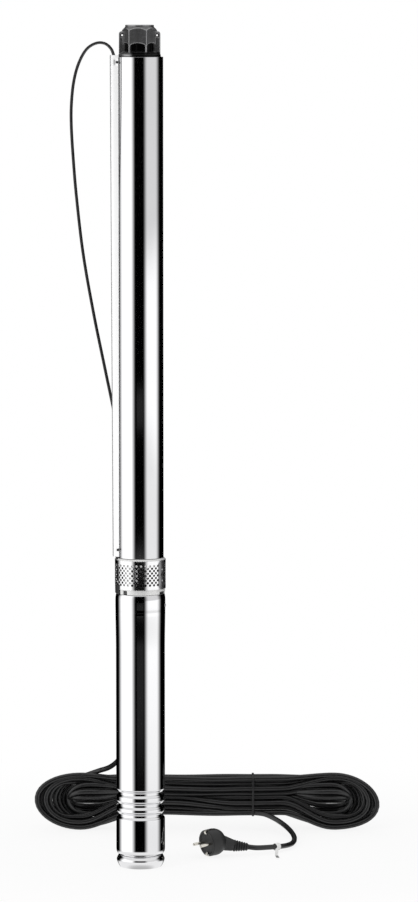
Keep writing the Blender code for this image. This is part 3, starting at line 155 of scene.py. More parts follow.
TAIL_ROUTE = (
    (0.1840, 0.3255, 0.0285),
    (0.2010, 0.3190, 0.0275),
    (0.2165, 0.3085, 0.0225),
    (0.2300, 0.2930, 0.0165),
    (0.2400, 0.2720, 0.0115),
    (0.2465, 0.2450, 0.0082),
    (0.2490, 0.2150, 0.0064),
    (0.2475, 0.1850, 0.0058),
    (0.2420, 0.1580, 0.0062),
    (0.2310, 0.1340, 0.0076),
    (0.2120, 0.1140, 0.0094),
    (0.1870, 0.0990, 0.0108),
    (0.1720, 0.0960, 0.0128),
)
HANK_BACK = 0.3400
TIE_PLACE = 0.182

PLUG_FACE = Vector((-0.80, -0.56, -0.08)).normalized()
PLUG_RADIUS = 0.0220

# Turns of the hank in the order that the cable lies in it: rank in depth, then layer inwards
HANK_ORDER = ((1, 0), (2, 0), (2, 1), (1, 1), (1, 2), (2, 2), (2, 3), (1, 3), (0, 3), (0, 2), (0, 1), (0, 0))
HANK_SLACK = np.random.default_rng(5).uniform(-1, 1, (12, 5))
NOSE_LEFT = -0.1768
NOSE_RIGHT = 0.3886
LAYER_STEP = 0.0078
LOBE_INSET = (
    (0.0000, 0.0072, 0.0144, 0.0208),
    (0.0288, 0.0360, 0.0520, 0.0525),
    (0.0432, 0.0504, 0.0530, 0.0540),
)
RANK_STEP = 0.0112
LOBE_TALL = (
    (0.0436, 0.0400, 0.0365, 0.0291),
    (0.0400, 0.0360, 0.0290, 0.0264),
    (0.0380, 0.0340, 0.0264, 0.0264),
)
LOBE_MIDDLE = (0.0480, 0.0488, 0.0496, 0.0504)
UNEVEN = 0.0004
LEAN = {(1, 2): -24, (1, 3): -54, (2, 2): -40, (2, 3): -73}
LEAN_FORWARD = 0.0090
BACK_RANK_LOWER = 0.0017
NOSE_RISE_LEFT = 0.0030
NOSE_RISE_RIGHT = -0.0058
FOLD = 0.0264
CLOSING = 0.0850
BAND_TOP = 0.0858
BAND_FOOT = 0.0282
BAND_STEP = 0.0084
SWAY = 0.0016
LIFT = 0.0011
TIE_REACH = 0.05
RUN_POINTS = 35
LOBE_POINTS = 19
FIRST_LOBE_START = 9
CROSSING = (0.055, 0.160)


class Level:
    """A number on its way through a node tree. The usual signs add the nodes that work it out."""

    def __init__(self, net, socket):
        self.net = net
        self.socket = socket

    def through(self, operation, *values, clamp=False):
        given = dict(enumerate(values))
        made = self.net.add("ShaderNodeMath", {"operation": operation, "use_clamp": clamp}, given)
        return Level(self.net, made.outputs[0])

    def __add__(self, other):
        return self.through("ADD", self, other)

    def __sub__(self, other):
        return self.through("SUBTRACT", self, other)

    def __rsub__(self, other):
        return self.through("SUBTRACT", other, self)

    def __mul__(self, other):
        return self.through("MULTIPLY", self, other)

    def __truediv__(self, other):
        return self.through("DIVIDE", self, other)

    def __pow__(self, other):
        return self.through("POWER", self, other)

    def __mod__(self, other):
        return self.through("FLOORED_MODULO", self, other)

    def __gt__(self, other):
        return self.through("GREATER_THAN", self, other)

    def __lt__(self, other):
        return self.through("LESS_THAN", self, other)

    def sine(self):
        return self.through("SINE", self)

    def cosine(self):
        return self.through("COSINE", self)

    def size(self):
        return self.through("ABSOLUTE", self)

    def held(self):
        return self.through("ADD", self, 0.0, clamp=True)

    def rising(self, low, high):
        """0 below the low value, 1 above the high one and smooth between them."""
        ends = {"Value": self, "From Min": low, "From Max": high}
        made = self.net.add("ShaderNodeMapRange", {"interpolation_type": "SMOOTHSTEP"}, ends)
        return Level(self.net, made.outputs[0])


class Net:
    """A node tree under construction."""

    def __init__(self, tree):
        self.tree = tree

    def add(self, kind, settings=None, values=None):
        """A node with its settings, then the values or links of its sockets."""
        made = self.tree.nodes.new(kind)
        for name, value in (settings or {}).items():
            setattr(made, name, value)
        for name, value in (values or {}).items():
            value = value.socket if isinstance(value, Level) else value
            if isinstance(value, bpy.types.NodeSocket):
                self.tree.links.new(value, made.inputs[name])
            else:
                made.inputs[name].default_value = value
        return made

    def level(self, kind, settings=None, values=None, out=0):
        return Level(self, self.add(kind, settings, values).outputs[out])

    def parts(self, vector):
        """The three numbers of a vector."""
        made = self.add("ShaderNodeSeparateXYZ", {}, {0: vector})
        return [Level(self, made.outputs[i]) for i in range(3)]

    def vector(self, x, y, z):
        return self.add("ShaderNodeCombineXYZ", {}, {0: x, 1: y, 2: z}).outputs[0]


class Finish(Net):
    """A procedural surface on Object coordinates, or on the piece's own attribute."""

    made = {}

    def __init__(self, name, colour, **plain):
        self.material = bpy.data.materials.new(name)
        self.material.use_nodes = True
        super().__init__(self.material.node_tree)
        self.shader = self.tree.nodes["Principled BSDF"]
        self.shader.inputs["Base Color"].default_value = (*colour, 1.0)
        for key, value in plain.items():
            self.shader.inputs[key.replace("_", " ")].default_value = value
        self.place = self.add("ShaderNodeTexCoord").outputs["Object"]
        Finish.made[name] = self

    def grain(self, scale, stretch=(1, 1, 1), detail=2.0, rough=0.5):
        """Noise, 0 to 1, whose features are about 1/scale metres, drawn out where stretch is small."""
        along = self.add("ShaderNodeMapping", {}, {"Vector": self.place, "Scale": stretch}).outputs[0]
        values = {"Vector": along, "Scale": scale, "Detail": detail, "Roughness": rough}
        return self.level("ShaderNodeTexNoise", {}, values)

    def around(self):
        """Distance round the pump's axis as an angle, in turns."""
        x, y, _ = self.parts(self.place)
        return x.through("ARCTAN2", x, y) / math.tau

    def tint(self, share, low, high):
        """Base colour between two colours."""
        made = self.add("ShaderNodeMix", {"data_type": "RGBA"}, {0: share, 6: (*low, 1.0), 7: (*high, 1.0)})
        self.tree.links.new(made.outputs[2], self.shader.inputs["Base Color"])

    def feed(self, name, value):
        self.tree.links.new(value.socket, self.shader.inputs[name])

    def relief(self, height, depth):
        """Bump of this depth in metres."""
        made = self.add("ShaderNodeBump", {}, {"Height": height, "Distance": depth, "Strength": 1.0})
        self.tree.links.new(made.outputs[0], self.shader.inputs["Normal"])


def make_finishes():
    """Every finish of the pump, one for each of the record's material slots."""
    steel = Finish("polished_stainless", (0.80, 0.80, 0.81), Metallic=1.0)
    buffed = steel.grain(700, (0.02, 0.02, 1), 3)
    cloud = steel.grain(14, detail=3)
    steel.feed("Roughness", buffed * 0.006 + cloud * 0.03 + 0.04)
    steel.tint(cloud, (0.77, 0.77, 0.785), (0.83, 0.83, 0.835))
    drawn = steel.grain(26, (1, 1, 0.04), 1)
    steel.relief(drawn, 0.00008)

    sheet = Finish("bright_sheet", (0.80, 0.80, 0.80), Metallic=1.0)
    brushed = sheet.grain(1500, (1, 1, 0.012), 2)
    dull = sheet.grain(40, detail=3)
    sheet.feed("Roughness", brushed * 0.05 + dull * 0.05 + 0.06)
    sheet.tint(dull, (0.74, 0.74, 0.75), (0.86, 0.86, 0.86))
    sheet.relief(brushed, 0.00001)

    guard = Finish("pressed_guard", (0.86, 0.86, 0.86), Metallic=1.0)
    drawn = guard.grain(1500, (1, 1, 0.012), 2)
    dull = guard.grain(30, detail=3)
    guard.feed("Roughness", drawn * 0.02 + dull * 0.08 + 0.34)
    guard.tint(dull, (0.82, 0.82, 0.825), (0.90, 0.90, 0.90))
    guard.relief(drawn, 0.00001)

    small = Finish("small_steel", (0.55, 0.55, 0.56), Metallic=1.0)
    tool = small.grain(2600, (1, 1, 0.3), 2)
    small.feed("Roughness", tool * 0.16 + 0.2)
    small.tint(small.grain(90, detail=3), (0.42, 0.42, 0.43), (0.66, 0.66, 0.67))
    small.relief(tool, 0.00002)

    casting = Finish("dark_casting", (0.10, 0.10, 0.105), Metallic=0.75, Specular_IOR_Level=0.4)
    skin = casting.grain(1500, detail=4, rough=0.65)
    pit = casting.grain(420, detail=2)
    # Brighter base colour on edges and ribs: partly wear where handling rubs the skin, partly a painted
    # highlight
    worn_and_highlit = casting.level("ShaderNodeAttribute", {"attribute_name": "edge_wear"}, {}, out=2)
    rubbed_and_highlit = (worn_and_highlit * 1.3 - pit * 0.5).held()
    casting.feed("Roughness", skin * 0.12 + pit * 0.08 + 0.20 - rubbed_and_highlit * 0.08)
    cx, cy, cz = casting.parts(casting.place)
    # Painted shade: the base colour goes near black where the surface lies close to the axis, in the arched
    # recesses below the ring
    painted_shade = 1 - ((cx * cx + cy * cy) ** 0.5).rising(0.0215, 0.0250)
    painted_shade = painted_shade * cz.rising(SHELL_TOP, SHELL_TOP + 0.006)
    painted_shade = painted_shade * (1 - cz.rising(HEAD_TOP - 0.0085, HEAD_TOP - 0.0070))
    # Painted shade on the flange, everywhere but on its left side
    foot = (1 - cz.rising(SHELL_TOP + 0.0066, SHELL_TOP + 0.0082)) * cx.rising(-0.018, -0.010)
    painted_shade = painted_shade.through("MAXIMUM", painted_shade, foot)
    share = (pit * 0.4 + rubbed_and_highlit * 1.7 + 0.20).held() * (1 - painted_shade)
    casting.tint(share, (0.002, 0.002, 0.002), (0.38, 0.38, 0.385))
    casting.relief(skin * 0.5 + pit, 0.00015)

    pale = Finish("bracket_casting", (0.86, 0.86, 0.85), Metallic=0.45)
    shot = pale.grain(1300, detail=4, rough=0.6)
    patch = pale.grain(60, detail=3)
    pale.feed("Roughness", shot * 0.16 + patch * 0.1 + 0.32)
    # Painted shade: only the outer rim keeps the pale colour. The casting is painted dark further in, in its
    # notch, slots and pockets
    px, py, _ = pale.parts(pale.place)
    outside = ((px * px + py * py) ** 0.5).rising(0.0368, 0.0384)
    pale.tint((patch * 0.25 + 0.75) * outside, (0.10, 0.10, 0.10), (0.92, 0.92, 0.91))
    pale.relief(shot, 0.00012)

    black = Finish("blackened_screw", (0.05, 0.05, 0.05), Metallic=0.8)
    oiled = black.grain(2200, detail=3)
    black.feed("Roughness", oiled * 0.15 + 0.3)
    black.tint(oiled, (0.02, 0.02, 0.02), (0.09, 0.09, 0.09))
    black.relief(oiled, 0.00002)

    stage = Finish("moulded_stage", (0.52, 0.49, 0.42), IOR=1.5)
    flow = stage.grain(30, (1, 1, 3), 3)
    matt = stage.grain(1800, detail=2)
    stage.feed("Roughness", matt * 0.2 + 0.3)
    stage.tint(flow, (0.42, 0.40, 0.34), (0.60, 0.57, 0.49))
    stage.relief(matt, 0.00003)

    cable = Finish("black_cable", (0.01, 0.01, 0.01), IOR=1.5, Specular_IOR_Level=0.6)
    dust = cable.grain(220, detail=4, rough=0.6)
    drawn = cable.grain(2400, detail=2)
    cable.feed("Roughness", dust * 0.14 + drawn * 0.06 + 0.26)
    cable.tint(dust.rising(0.5, 0.8), (0.005, 0.005, 0.0055), (0.016, 0.016, 0.0165))
    cable.relief(drawn * 0.4 + dust, 0.00012)

    rubber = Finish("black_rubber", (0.012, 0.012, 0.012), IOR=1.5, Specular_IOR_Level=0.5)
    spark = rubber.grain(1700, detail=3)
    smear = rubber.grain(90, detail=3)
    rubber.feed("Roughness", spark * 0.14 + smear * 0.16 + 0.34)
    rubber.tint(smear, (0.007, 0.007, 0.0075), (0.020, 0.020, 0.0205))
    rubber.relief(spark, 0.00006)

    tag = Finish("white_tag", (0.86, 0.86, 0.85), IOR=1.46)
    fibre = tag.grain(1200, (1, 1, 0.4), 4)
    tag.feed("Roughness", fibre * 0.2 + 0.42)
    # The strip's far end, which lies on the ground, is grey
    white_share = tag.parts(tag.place)[1].rising(0.078, 0.084)
    tag.tint(fibre * 0.15 + white_share * 0.85, (0.16, 0.16, 0.16), (0.92, 0.92, 0.91))
    tag.relief(fibre, 0.00004)

    iron = Finish("laminated_iron", (0.25, 0.25, 0.26), Metallic=1.0)
    height = iron.parts(iron.place)[2]
    edges = (height * (math.tau / 0.001)).sine() * 0.5 + 0.5
    blue = iron.grain(50, detail=3)
    iron.feed("Roughness", edges * 0.15 + blue * 0.2 + 0.28)
    iron.tint((edges * 0.4 + blue * 0.6).held(), (0.10, 0.10, 0.12), (0.36, 0.36, 0.37))
    iron.relief(edges, 0.00015)

    copper = Finish("winding_copper", (0.60, 0.26, 0.12), Metallic=0.85)
    turn = copper.around() * 90 + copper.parts(copper.place)[2] * 160
    wires = (turn * math.tau).sine().size()
    copper.feed("Roughness", copper.grain(300) * 0.2 + 0.24)
    copper.tint(wires, (0.22, 0.08, 0.03), (0.70, 0.31, 0.14))
    copper.relief(wires, 0.0005)

    carbon = Finish("bearing_carbon", (0.045, 0.045, 0.047), Metallic=0.1)
    pores = carbon.grain(2200, detail=3)
    carbon.feed("Roughness", pores * 0.25 + 0.28)
    carbon.tint(pores, (0.025, 0.025, 0.027), (0.075, 0.075, 0.078))
    carbon.relief(pores, 0.00005)

    ceramic = Finish("seal_ceramic", (0.86, 0.84, 0.79), IOR=1.7)
    glaze = ceramic.grain(180, detail=2)
    ceramic.feed("Roughness", glaze * 0.12 + 0.1)
    ceramic.tint(glaze, (0.82, 0.80, 0.75), (0.90, 0.88, 0.84))

    plated = Finish("plug_pin_metal", (0.74, 0.72, 0.66), Metallic=1.0)
    scuff = plated.grain(1400, (1, 0.2, 1), 3)
    plated.feed("Roughness", scuff * 0.2 + 0.12)
    plated.tint(scuff, (0.66, 0.63, 0.56), (0.82, 0.80, 0.75))
    plated.relief(scuff, 0.00002)


def shown_object(name, data):
    """A new object in the scene."""
    obj = bpy.data.objects.new(name, data)
    scene.collection.objects.link(obj)
    return obj


def put(obj, finish, stands_for=(), bend=35):
    """Gives a finished piece of the casing its surface, and hides the CAD nodes that it stands for."""
    obj.data.materials.clear()
    obj.data.materials.append(Finish.made[finish].material)
    if obj.type == "MESH":
        obj.data.shade_smooth()
        obj.data.set_sharp_from_angle(angle=math.radians(bend))
    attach(obj, "casing")
    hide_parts(*stands_for)
    return obj


def solid(name, points, faces, place=None):
    """A closed mesh from points and faces, its doubles merged and its faces turned outwards."""
    mesh = bpy.data.meshes.new(name)
    mesh.from_pydata([tuple(p) for p in points], [], faces)
    if place is not None:
        mesh.transform(place)
    held = bmesh.new()
    held.from_mesh(mesh)
    bmesh.ops.remove_doubles(held, verts=held.verts, dist=1e-7)
    bmesh.ops.recalc_face_normals(held, faces=held.faces)
    held.to_mesh(mesh)
    held.free()
    return shown_object(name, mesh)


def eased(corners):
    """A closed outline of (radius, height, easing), each corner rounded by its easing."""
    outline, steps = [], 4
    for i, (r, h, ease) in enumerate(corners):
        here = Vector((r, h))
        if not ease:
            outline.append((r, h))
            continue
        before = Vector(corners[i - 1][:2]) - here
        after = Vector(corners[(i + 1) % len(corners)][:2]) - here
        start = here + before.normalized() * min(ease, before.length * 0.49)
        end = here + after.normalized() * min(ease, after.length * 0.49)
        for k in range(steps + 1):
            t = k / steps
            p = start * (1 - t) ** 2 + here * 2 * t * (1 - t) + end * t * t
            outline.append((p.x, p.y))
    return outline


def ring(radius, height, steps):
    """The points of a circle about Z."""
    turns = [math.tau * i / steps for i in range(steps)]
    return [(radius * math.cos(a), radius * math.sin(a), height) for a in turns]


def between(low, high, count):
    """The faces between two closed rings of points, each given by its first point's number."""
    return [(low + k, low + (k + 1) % count, high + (k + 1) % count, high + k) for k in range(count)]


def fan(low, tip, count):
    """The faces between a closed ring of points and its tip."""
    return [(low + k, low + (k + 1) % count, tip) for k in range(count)]


def turned(name, profile, steps=128, place=None):
    """A profile of (radius, height) turned about Z: closed, or with both its ends on the axis."""
    rings, points, faces = [], [], []
    for r, h in profile:
        if r == 0:
            rings.append([len(points)] * steps)
            points.append((0, 0, h))
            continue
        rings.append(list(range(len(points), len(points) + steps)))
        points += ring(r, h, steps)
    pairs = list(zip(rings, rings[1:]))
    if profile[0][0] or profile[-1][0]:
        pairs.append((rings[-1], rings[0]))
    for low, high in pairs:
        for i in range(steps):
            k = (i + 1) % steps
            face = list(dict.fromkeys((low[i], low[k], high[k], high[i])))
            if len(face) > 2:
                faces.append(face)
    return solid(name, points, faces, place)


def prism(name, outline, bottom, top, place=None):
    """A flat outline given a height."""
    count = len(outline)
    points = [(p[0], p[1], height) for height in (bottom, top) for p in outline]
    faces = [list(range(count))[::-1], list(range(count, 2 * count)), *between(0, count, count)]
    return solid(name, points, faces, place)


def arc(radius, start, end, count, centre=(0, 0)):
    turns = [start + (end - start) * i / (count - 1) for i in range(count)]
    return [(centre[0] + radius * math.cos(a), centre[1] + radius * math.sin(a)) for a in turns]


def box(half, tall):
    """Outline of a rectangle, from half of each side."""
    return [(-half, -tall), (half, -tall), (half, tall), (-half, tall)]


def rounded_box(half, tall, corner):
    """Outline of a rectangle with round corners."""
    outline = []
    for turn, x, y in ((0, 1, 1), (90, -1, 1), (180, -1, -1), (270, 1, -1)):
        centre = (x * (half - corner), y * (tall - corner))
        outline += arc(corner, math.radians(turn), math.radians(turn + 90), 7, centre)
    return outline


def around(azimuth, radius, height=0.0):
    """The point at an azimuth that is 0 toward the viewer, -Y, and grows toward +X."""
    return Vector((radius * math.sin(azimuth), -radius * math.cos(azimuth), height))


def rim_block(name, turns, inner, outer, bottom, top):
    """A block bent round the axis through these azimuths, between two radii."""
    outline = [around(a, outer) for a in turns] + [around(a, inner) for a in turns[::-1]]
    return prism(name, outline, bottom, top)


def raised(height):
    return Matrix.Translation((0, 0, height))


def stood(place, direction):
    """The matrix that carries Z to a direction, from a place."""
    return Matrix.Translation(place) @ Vector(direction).to_track_quat("Z", "Y").to_matrix().to_4x4()


def settled(obj):
    """Works the object's modifiers into its mesh."""
    graph = bpy.context.evaluated_depsgraph_get()
    mesh = bpy.data.meshes.new_from_object(obj.evaluated_get(graph))
    obj.modifiers.clear()
    obj.data = mesh


def thickened(obj, thickness):
    """Gives a skin its sheet thickness, inwards."""
    skin = obj.modifiers.new("thickness", "SOLIDIFY")
    skin.thickness = thickness
    skin.offset = -1
    settled(obj)


def joined(obj, others, operation="DIFFERENCE"):
    """Boolean of an object with several others, which are used up."""
    for other in others:
        step = obj.modifiers.new(other.name, "BOOLEAN")
        step.operation = operation
        step.solver = "EXACT"
        step.object = other
        settled(obj)
        bpy.data.objects.remove(other)
    return obj


def cast(obj, grain, smoothing, keep):
    """Rounds every corner as a mould does: a fine even skin, smoothed and then thinned."""
    skin = obj.modifiers.new("skin", "REMESH")
    skin.mode = "VOXEL"
    skin.voxel_size = grain
    soft = obj.modifiers.new("soft", "SMOOTH")
    soft.factor = 0.5
    soft.iterations = smoothing
    thin = obj.modifiers.new("thin", "DECIMATE")
    thin.ratio = keep
    settled(obj)


def rows_of(items, name, width, kind=float):
    """One property of all of a mesh's points or edges, a row for each."""
    held = np.zeros(len(items) * width, kind)
    items.foreach_get(name, held)
    return held.reshape(-1, width)


def edge_wear(obj):
    """Stores how far each point stands out from its neighbours, where handling rubs the skin bright and
    where the casting's base colour carries a painted highlight.
    """
    mesh = obj.data
    place = rows_of(mesh.vertices, "co", 3)
    facing = rows_of(mesh.vertices, "normal", 3)
    a, b = rows_of(mesh.edges, "vertices", 2, int).T
    way = place[b] - place[a]
    far = np.linalg.norm(way, axis=1) + 1e-9
    bend = np.zeros(len(place))
    seen = np.zeros(len(place))
    np.add.at(bend, a, -(way * facing[a]).sum(1) / far)
    np.add.at(bend, b, (way * facing[b]).sum(1) / far)
    np.add.at(seen, a, 1)
    np.add.at(seen, b, 1)
    wear = np.clip(bend / np.maximum(seen, 1) * 4, 0, 1)
    for _ in range(5):
        spread = wear.copy()
        np.add.at(spread, a, wear[b])
        np.add.at(spread, b, wear[a])
        wear = spread / (seen + 1)
    held = mesh.attributes.new("edge_wear", "FLOAT", "POINT")
    held.data.foreach_set("value", np.clip(wear * 3.0, 0, 1).astype(np.float32))


def smooth_route(points, spacing):
    """Evenly spaced points on a smooth curve through the chosen ones."""
    knots = [Vector(p) for p in points]
    knots = [2 * knots[0] - knots[1], *knots, 2 * knots[-1] - knots[-2]]
    dense, steps = [], 24
    for a, b, c, d in zip(knots, knots[1:], knots[2:], knots[3:]):
        for i in range(steps):
            t = i / steps
            dense.append(
                0.5 * (2 * b + (c - a) * t + (2 * a - 5 * b + 4 * c - d) * t * t)
                + 0.5 * (3 * b - a - 3 * c + d) * t**3
            )
    dense.append(knots[-2])
    place = np.array(dense)
    travelled = np.concatenate([[0], np.cumsum(np.linalg.norm(np.diff(place, axis=0), axis=1))])
    wanted = np.linspace(0, travelled[-1], max(2, round(travelled[-1] / spacing)) + 1)
    return [Vector(p) for p in np.stack([np.interp(wanted, travelled, place[:, i]) for i in range(3)], 1)]


def swept(name, path, section, across):
    """A closed section carried along a path. Across is the way of its first number at the start."""
    points, faces = [], []
    wide = Vector(across)
    count = len(section)
    for i, place in enumerate(path):
        along = (path[min(i + 1, len(path) - 1)] - path[max(i - 1, 0)]).normalized()
        wide = (wide - along * wide.dot(along)).normalized()
        thick = along.cross(wide)
        points += [place + wide * u + thick * v for u, v in section]
    for i in range(len(path) - 1):
        faces += between(i * count, (i + 1) * count, count)
    faces += [list(range(count)), list(range(len(points) - count, len(points)))]
    return solid(name, points, faces)


class Pattern(Net):
    """A Geometry Nodes tree with named sizes. Its result becomes a plain mesh."""

    def __init__(self, name, **sizes):
        super().__init__(bpy.data.node_groups.new(name, "GeometryNodeTree"))
        face = self.tree.interface
        face.new_socket("Geometry", in_out="OUTPUT", socket_type="NodeSocketGeometry")
        self.sizes = {}
        for key, value in sizes.items():
            kind = "NodeSocketInt" if isinstance(value, int) else "NodeSocketFloat"
            self.sizes[face.new_socket(key, in_out="INPUT", socket_type=kind).identifier] = value
        self.given = self.add("NodeGroupInput")

    def of(self, name):
        return Level(self, self.given.outputs[name])

    def shape(self, kind, values=None, settings=None):
        """A geometry node's first output."""
        return self.add("GeometryNode" + kind, settings, values).outputs[0]

    def circle(self, steps, radius):
        return self.shape("CurvePrimitiveCircle", {"Resolution": steps, "Radius": radius})

    def wound(self, steps, sides, height):
        """A wire wound about Z, from the sizes Turns, Radius and Wire."""
        values = {"Resolution": steps, "Rotations": self.of("Turns"), "Height": height}
        values |= {"Start Radius": self.of("Radius"), "End Radius": self.of("Radius")}
        line = self.shape("CurveSpiral", values)
        wire = {"Curve": line, "Profile Curve": self.circle(sides, self.of("Wire")), "Fill Caps": True}
        return self.shape("CurveToMesh", wire)

    def moved(self, shape, place, chosen=True):
        """The shape with its points, or the chosen ones, at a place."""
        values = {"Geometry": shape, "Selection": chosen, "Position": place}
        return self.shape("SetPosition", values)

    def together(self, *shapes):
        made = self.add("GeometryNodeJoinGeometry")
        for shape in shapes:
            self.tree.links.new(shape, made.inputs[0])
        return made.outputs[0]

    def piece(self, name, shape, finish, place):
        real = self.shape("RealizeInstances", {"Geometry": shape})
        dressed = {"Geometry": real, "Material": Finish.made[finish].material}
        shown = self.shape("SetMaterial", dressed)
        self.add("NodeGroupOutput", {}, {"Geometry": shown})
        obj = shown_object(name, bpy.data.meshes.new(name))
        step = obj.modifiers.new(name, "NODES")
        step.node_group = self.tree
        for socket, value in self.sizes.items():
            step[socket] = value
        settled(obj)
        obj.data.transform(place)
        return obj


def set_camera():
    """The photograph's viewpoint: far off, a little above the pump's middle."""
    lens = bpy.data.cameras.new("camera")
    lens.lens = 194.85
    lens.sensor_width = 36
    lens.clip_end = 60
    camera = shown_object("camera", lens)
    camera.location = (0.109, -7.69, 1.425)
    aim = Vector((0.109, 0, 0.665)) - camera.location
    camera.rotation_euler = aim.to_track_quat("-Z", "Y").to_euler()
    scene.camera = camera


# Where each white panel starts and ends, in degrees round from the camera
LEFT_PANEL = ((22, 46), (92, 126))
RIGHT_PANEL = ((17, 40), (82, 114))


def set_room():
    """A white studio: white panels to left and right, with dark gaps between them that metal mirrors."""
    scene.view_settings.view_transform = "Standard"
    world = bpy.data.worlds.new("studio")
    scene.world = world
    world.use_nodes = True
    net = Net(world.node_tree)
    shine = world.node_tree.nodes["Background"]
    x, y, z = net.parts(net.add("ShaderNodeTexCoord").outputs["Generated"])
    turn = x.through("ARCTAN2", x, 0 - y) * (180 / math.pi)
    fall = 0 - z
    left = (0 - turn).rising(*LEFT_PANEL[0]) * (1 - (0 - turn).rising(*LEFT_PANEL[1]))
    right = turn.rising(*RIGHT_PANEL[0]) * (1 - turn.rising(*RIGHT_PANEL[1]))
    right_level = fall.rising(0.008, 0.055) * 0.46 - fall.rising(0.135, 0.185) * 0.28 + 0.80
    # A faint low band shows in the gap between the panels
    glow = fall.rising(0.128, 0.134) * (1 - fall.rising(0.157, 0.164)) * 0.022
    glow = glow * (1 - turn.size().rising(12, 20))
    panels = left * 1.35 + right * right_level + glow
    below = fall.rising(0.24, 0.42)
    down = below * (1 - fall.rising(0.70, 0.95) * 0.45)
    up = z.rising(0.50, 0.68)
    mirrored = panels * (1 - below) * (1 - up) + down + up * 0.9
    ray = net.add("ShaderNodeLightPath")
    seen = Level(net, ray.outputs["Is Camera Ray"])
    gloss = Level(net, ray.outputs["Is Glossy Ray"])
    level = (seen + (1 - seen) * (gloss * mirrored + (1 - gloss) * 0.80)).socket
    net.tree.links.new(level, shine.inputs["Strength"])
    shine.inputs["Color"].default_value = (1, 1, 1, 1)


def set_lamp():
    """A soft lamp at the upper left, which metal doesn't mirror."""
    lamp = bpy.data.lights.new("key", "AREA")
    lamp.shape = "RECTANGLE"
    lamp.size = 1.6
    lamp.size_y = 2.4
    lamp.energy = 36
    key = shown_object("key", lamp)
    key.location = (-2.3, -2.6, 2.6)
    key.rotation_euler = (Vector((0, 0, 0.6)) - key.location).to_track_quat("-Z", "Y").to_euler()
    key.visible_glossy = False


def set_floor():
    """A pale floor that fades into the white of the room."""
    floor = solid("floor", [(x, y, 0) for x, y in box(9, 9)], [(0, 1, 2, 3)])
    floor.location.z = -0.0002
    ground = bpy.data.materials.new("pale_floor")
    ground.use_nodes = True
    net = Net(ground.node_tree)
    matt = ground.node_tree.nodes["Principled BSDF"]
    matt.inputs["Base Color"].default_value = (0.93, 0.93, 0.93, 1)
    matt.inputs["Roughness"].default_value = 0.8
    glow = net.add("ShaderNodeEmission", {}, {"Color": (1, 1, 1, 1), "Strength": 1.0})
    seen = Level(net, net.add("ShaderNodeLightPath").outputs["Is Camera Ray"])
    gx, gy, _ = net.parts(net.add("ShaderNodeTexCoord").outputs["Object"])
    away = (((gx - 0.11) ** 2 + (gy - 0.15) ** 2) ** 0.5).rising(0.30, 0.95)
    share = seen * (away * 0.14 + 0.86)
    mixed = net.add("ShaderNodeMixShader", {}, {0: share, 1: matt.outputs[0], 2: glow.outputs[0]})
    net.tree.links.new(mixed.outputs[0], ground.node_tree.nodes["Material Output"].inputs["Surface"])
    floor.data.materials.append(ground)
    floor.visible_glossy = False


def ramp(t):
    t = max(0.0, min(1.0, t))
    return t * t * (3 - 2 * t)


def turn_of(rank, layer):
    """Half height, reach, lean and lobe centres of one turn, each a little unlike the others."""
    slack = HANK_SLACK[HANK_ORDER.index((rank, layer))]
    tall = LOBE_TALL[rank][layer] + UNEVEN * slack[0]
    reach = tall**2 / FOLD
    inset = LOBE_INSET[rank][layer]
    left = NOSE_LEFT + inset + UNEVEN * slack[1] + reach
    right = NOSE_RIGHT - inset + LAYER_STEP * (rank > 0) + UNEVEN * slack[2] - reach
    return tall, reach, math.radians(LEAN.get((rank, layer), 0)), left, right


def hank_place(x, upper, rank, layer):
    """A point of one turn at x, on its upper or its lower run."""
    tall, reach, lean, left, right = turn_of(rank, layer)
    slack = HANK_SLACK[HANK_ORDER.index((rank, layer))]
    past = min(1.0, max(left - x, x - right, 0) / reach)
    first, last = turn_of(rank, 0)[3:]
    opened = 1.0 if past else max(ramp((first - x) / CLOSING + 1), ramp((x - last) / CLOSING + 1))
    swing = (1 if upper else -1) * tall * math.sqrt(1 - past * past)
    band = (BAND_TOP - BAND_STEP * layer) if upper else (BAND_FOOT + BAND_STEP * layer)
    nose = NOSE_RISE_LEFT if x < left else NOSE_RISE_RIGHT
    nose *= past * past * (tall - FOLD) / (LOBE_TALL[0][0] - FOLD)
    middle = LOBE_MIDDLE[layer] - BACK_RANK_LOWER * (rank == 2)
    height = band + (middle + nose + swing * math.cos(lean) - band) * opened
    # Slack strands wander a little between the ends and the tie
    lax = (1 - math.exp(-(((x - TIE_PLACE) / TIE_REACH) ** 2))) * (1 - opened)
    sway = SWAY * math.sin(19 * x + 2.7 * slack[3] + 1.9 * rank) * lax
    lift = LIFT * math.sin(27 * x + 3.1 * slack[4] + 2.3 * layer) * lax
    depth = HANK_BACK + (rank - 1) * RANK_STEP + (0.25 if layer % 2 else -0.25) * RANK_STEP
    depth += (swing * math.sin(lean) - LEAN_FORWARD * abs(math.sin(lean))) * opened
    return Vector((x, depth + sway, height + lift))


def lobe(right_end, rank, layer, start=0):
    """The turn round one end of the hank: from top to foot at the left, from foot to top at the right."""
    _, reach, _, left, right = turn_of(rank, layer)
    path = []
    for turn in np.radians(np.linspace(start, 180, LOBE_POINTS)[1:-1]):
        x = right + reach * math.sin(turn) if right_end else left - reach * math.sin(turn)
        path.append(hank_place(x, (turn < math.pi / 2) != right_end, rank, layer))
    return path


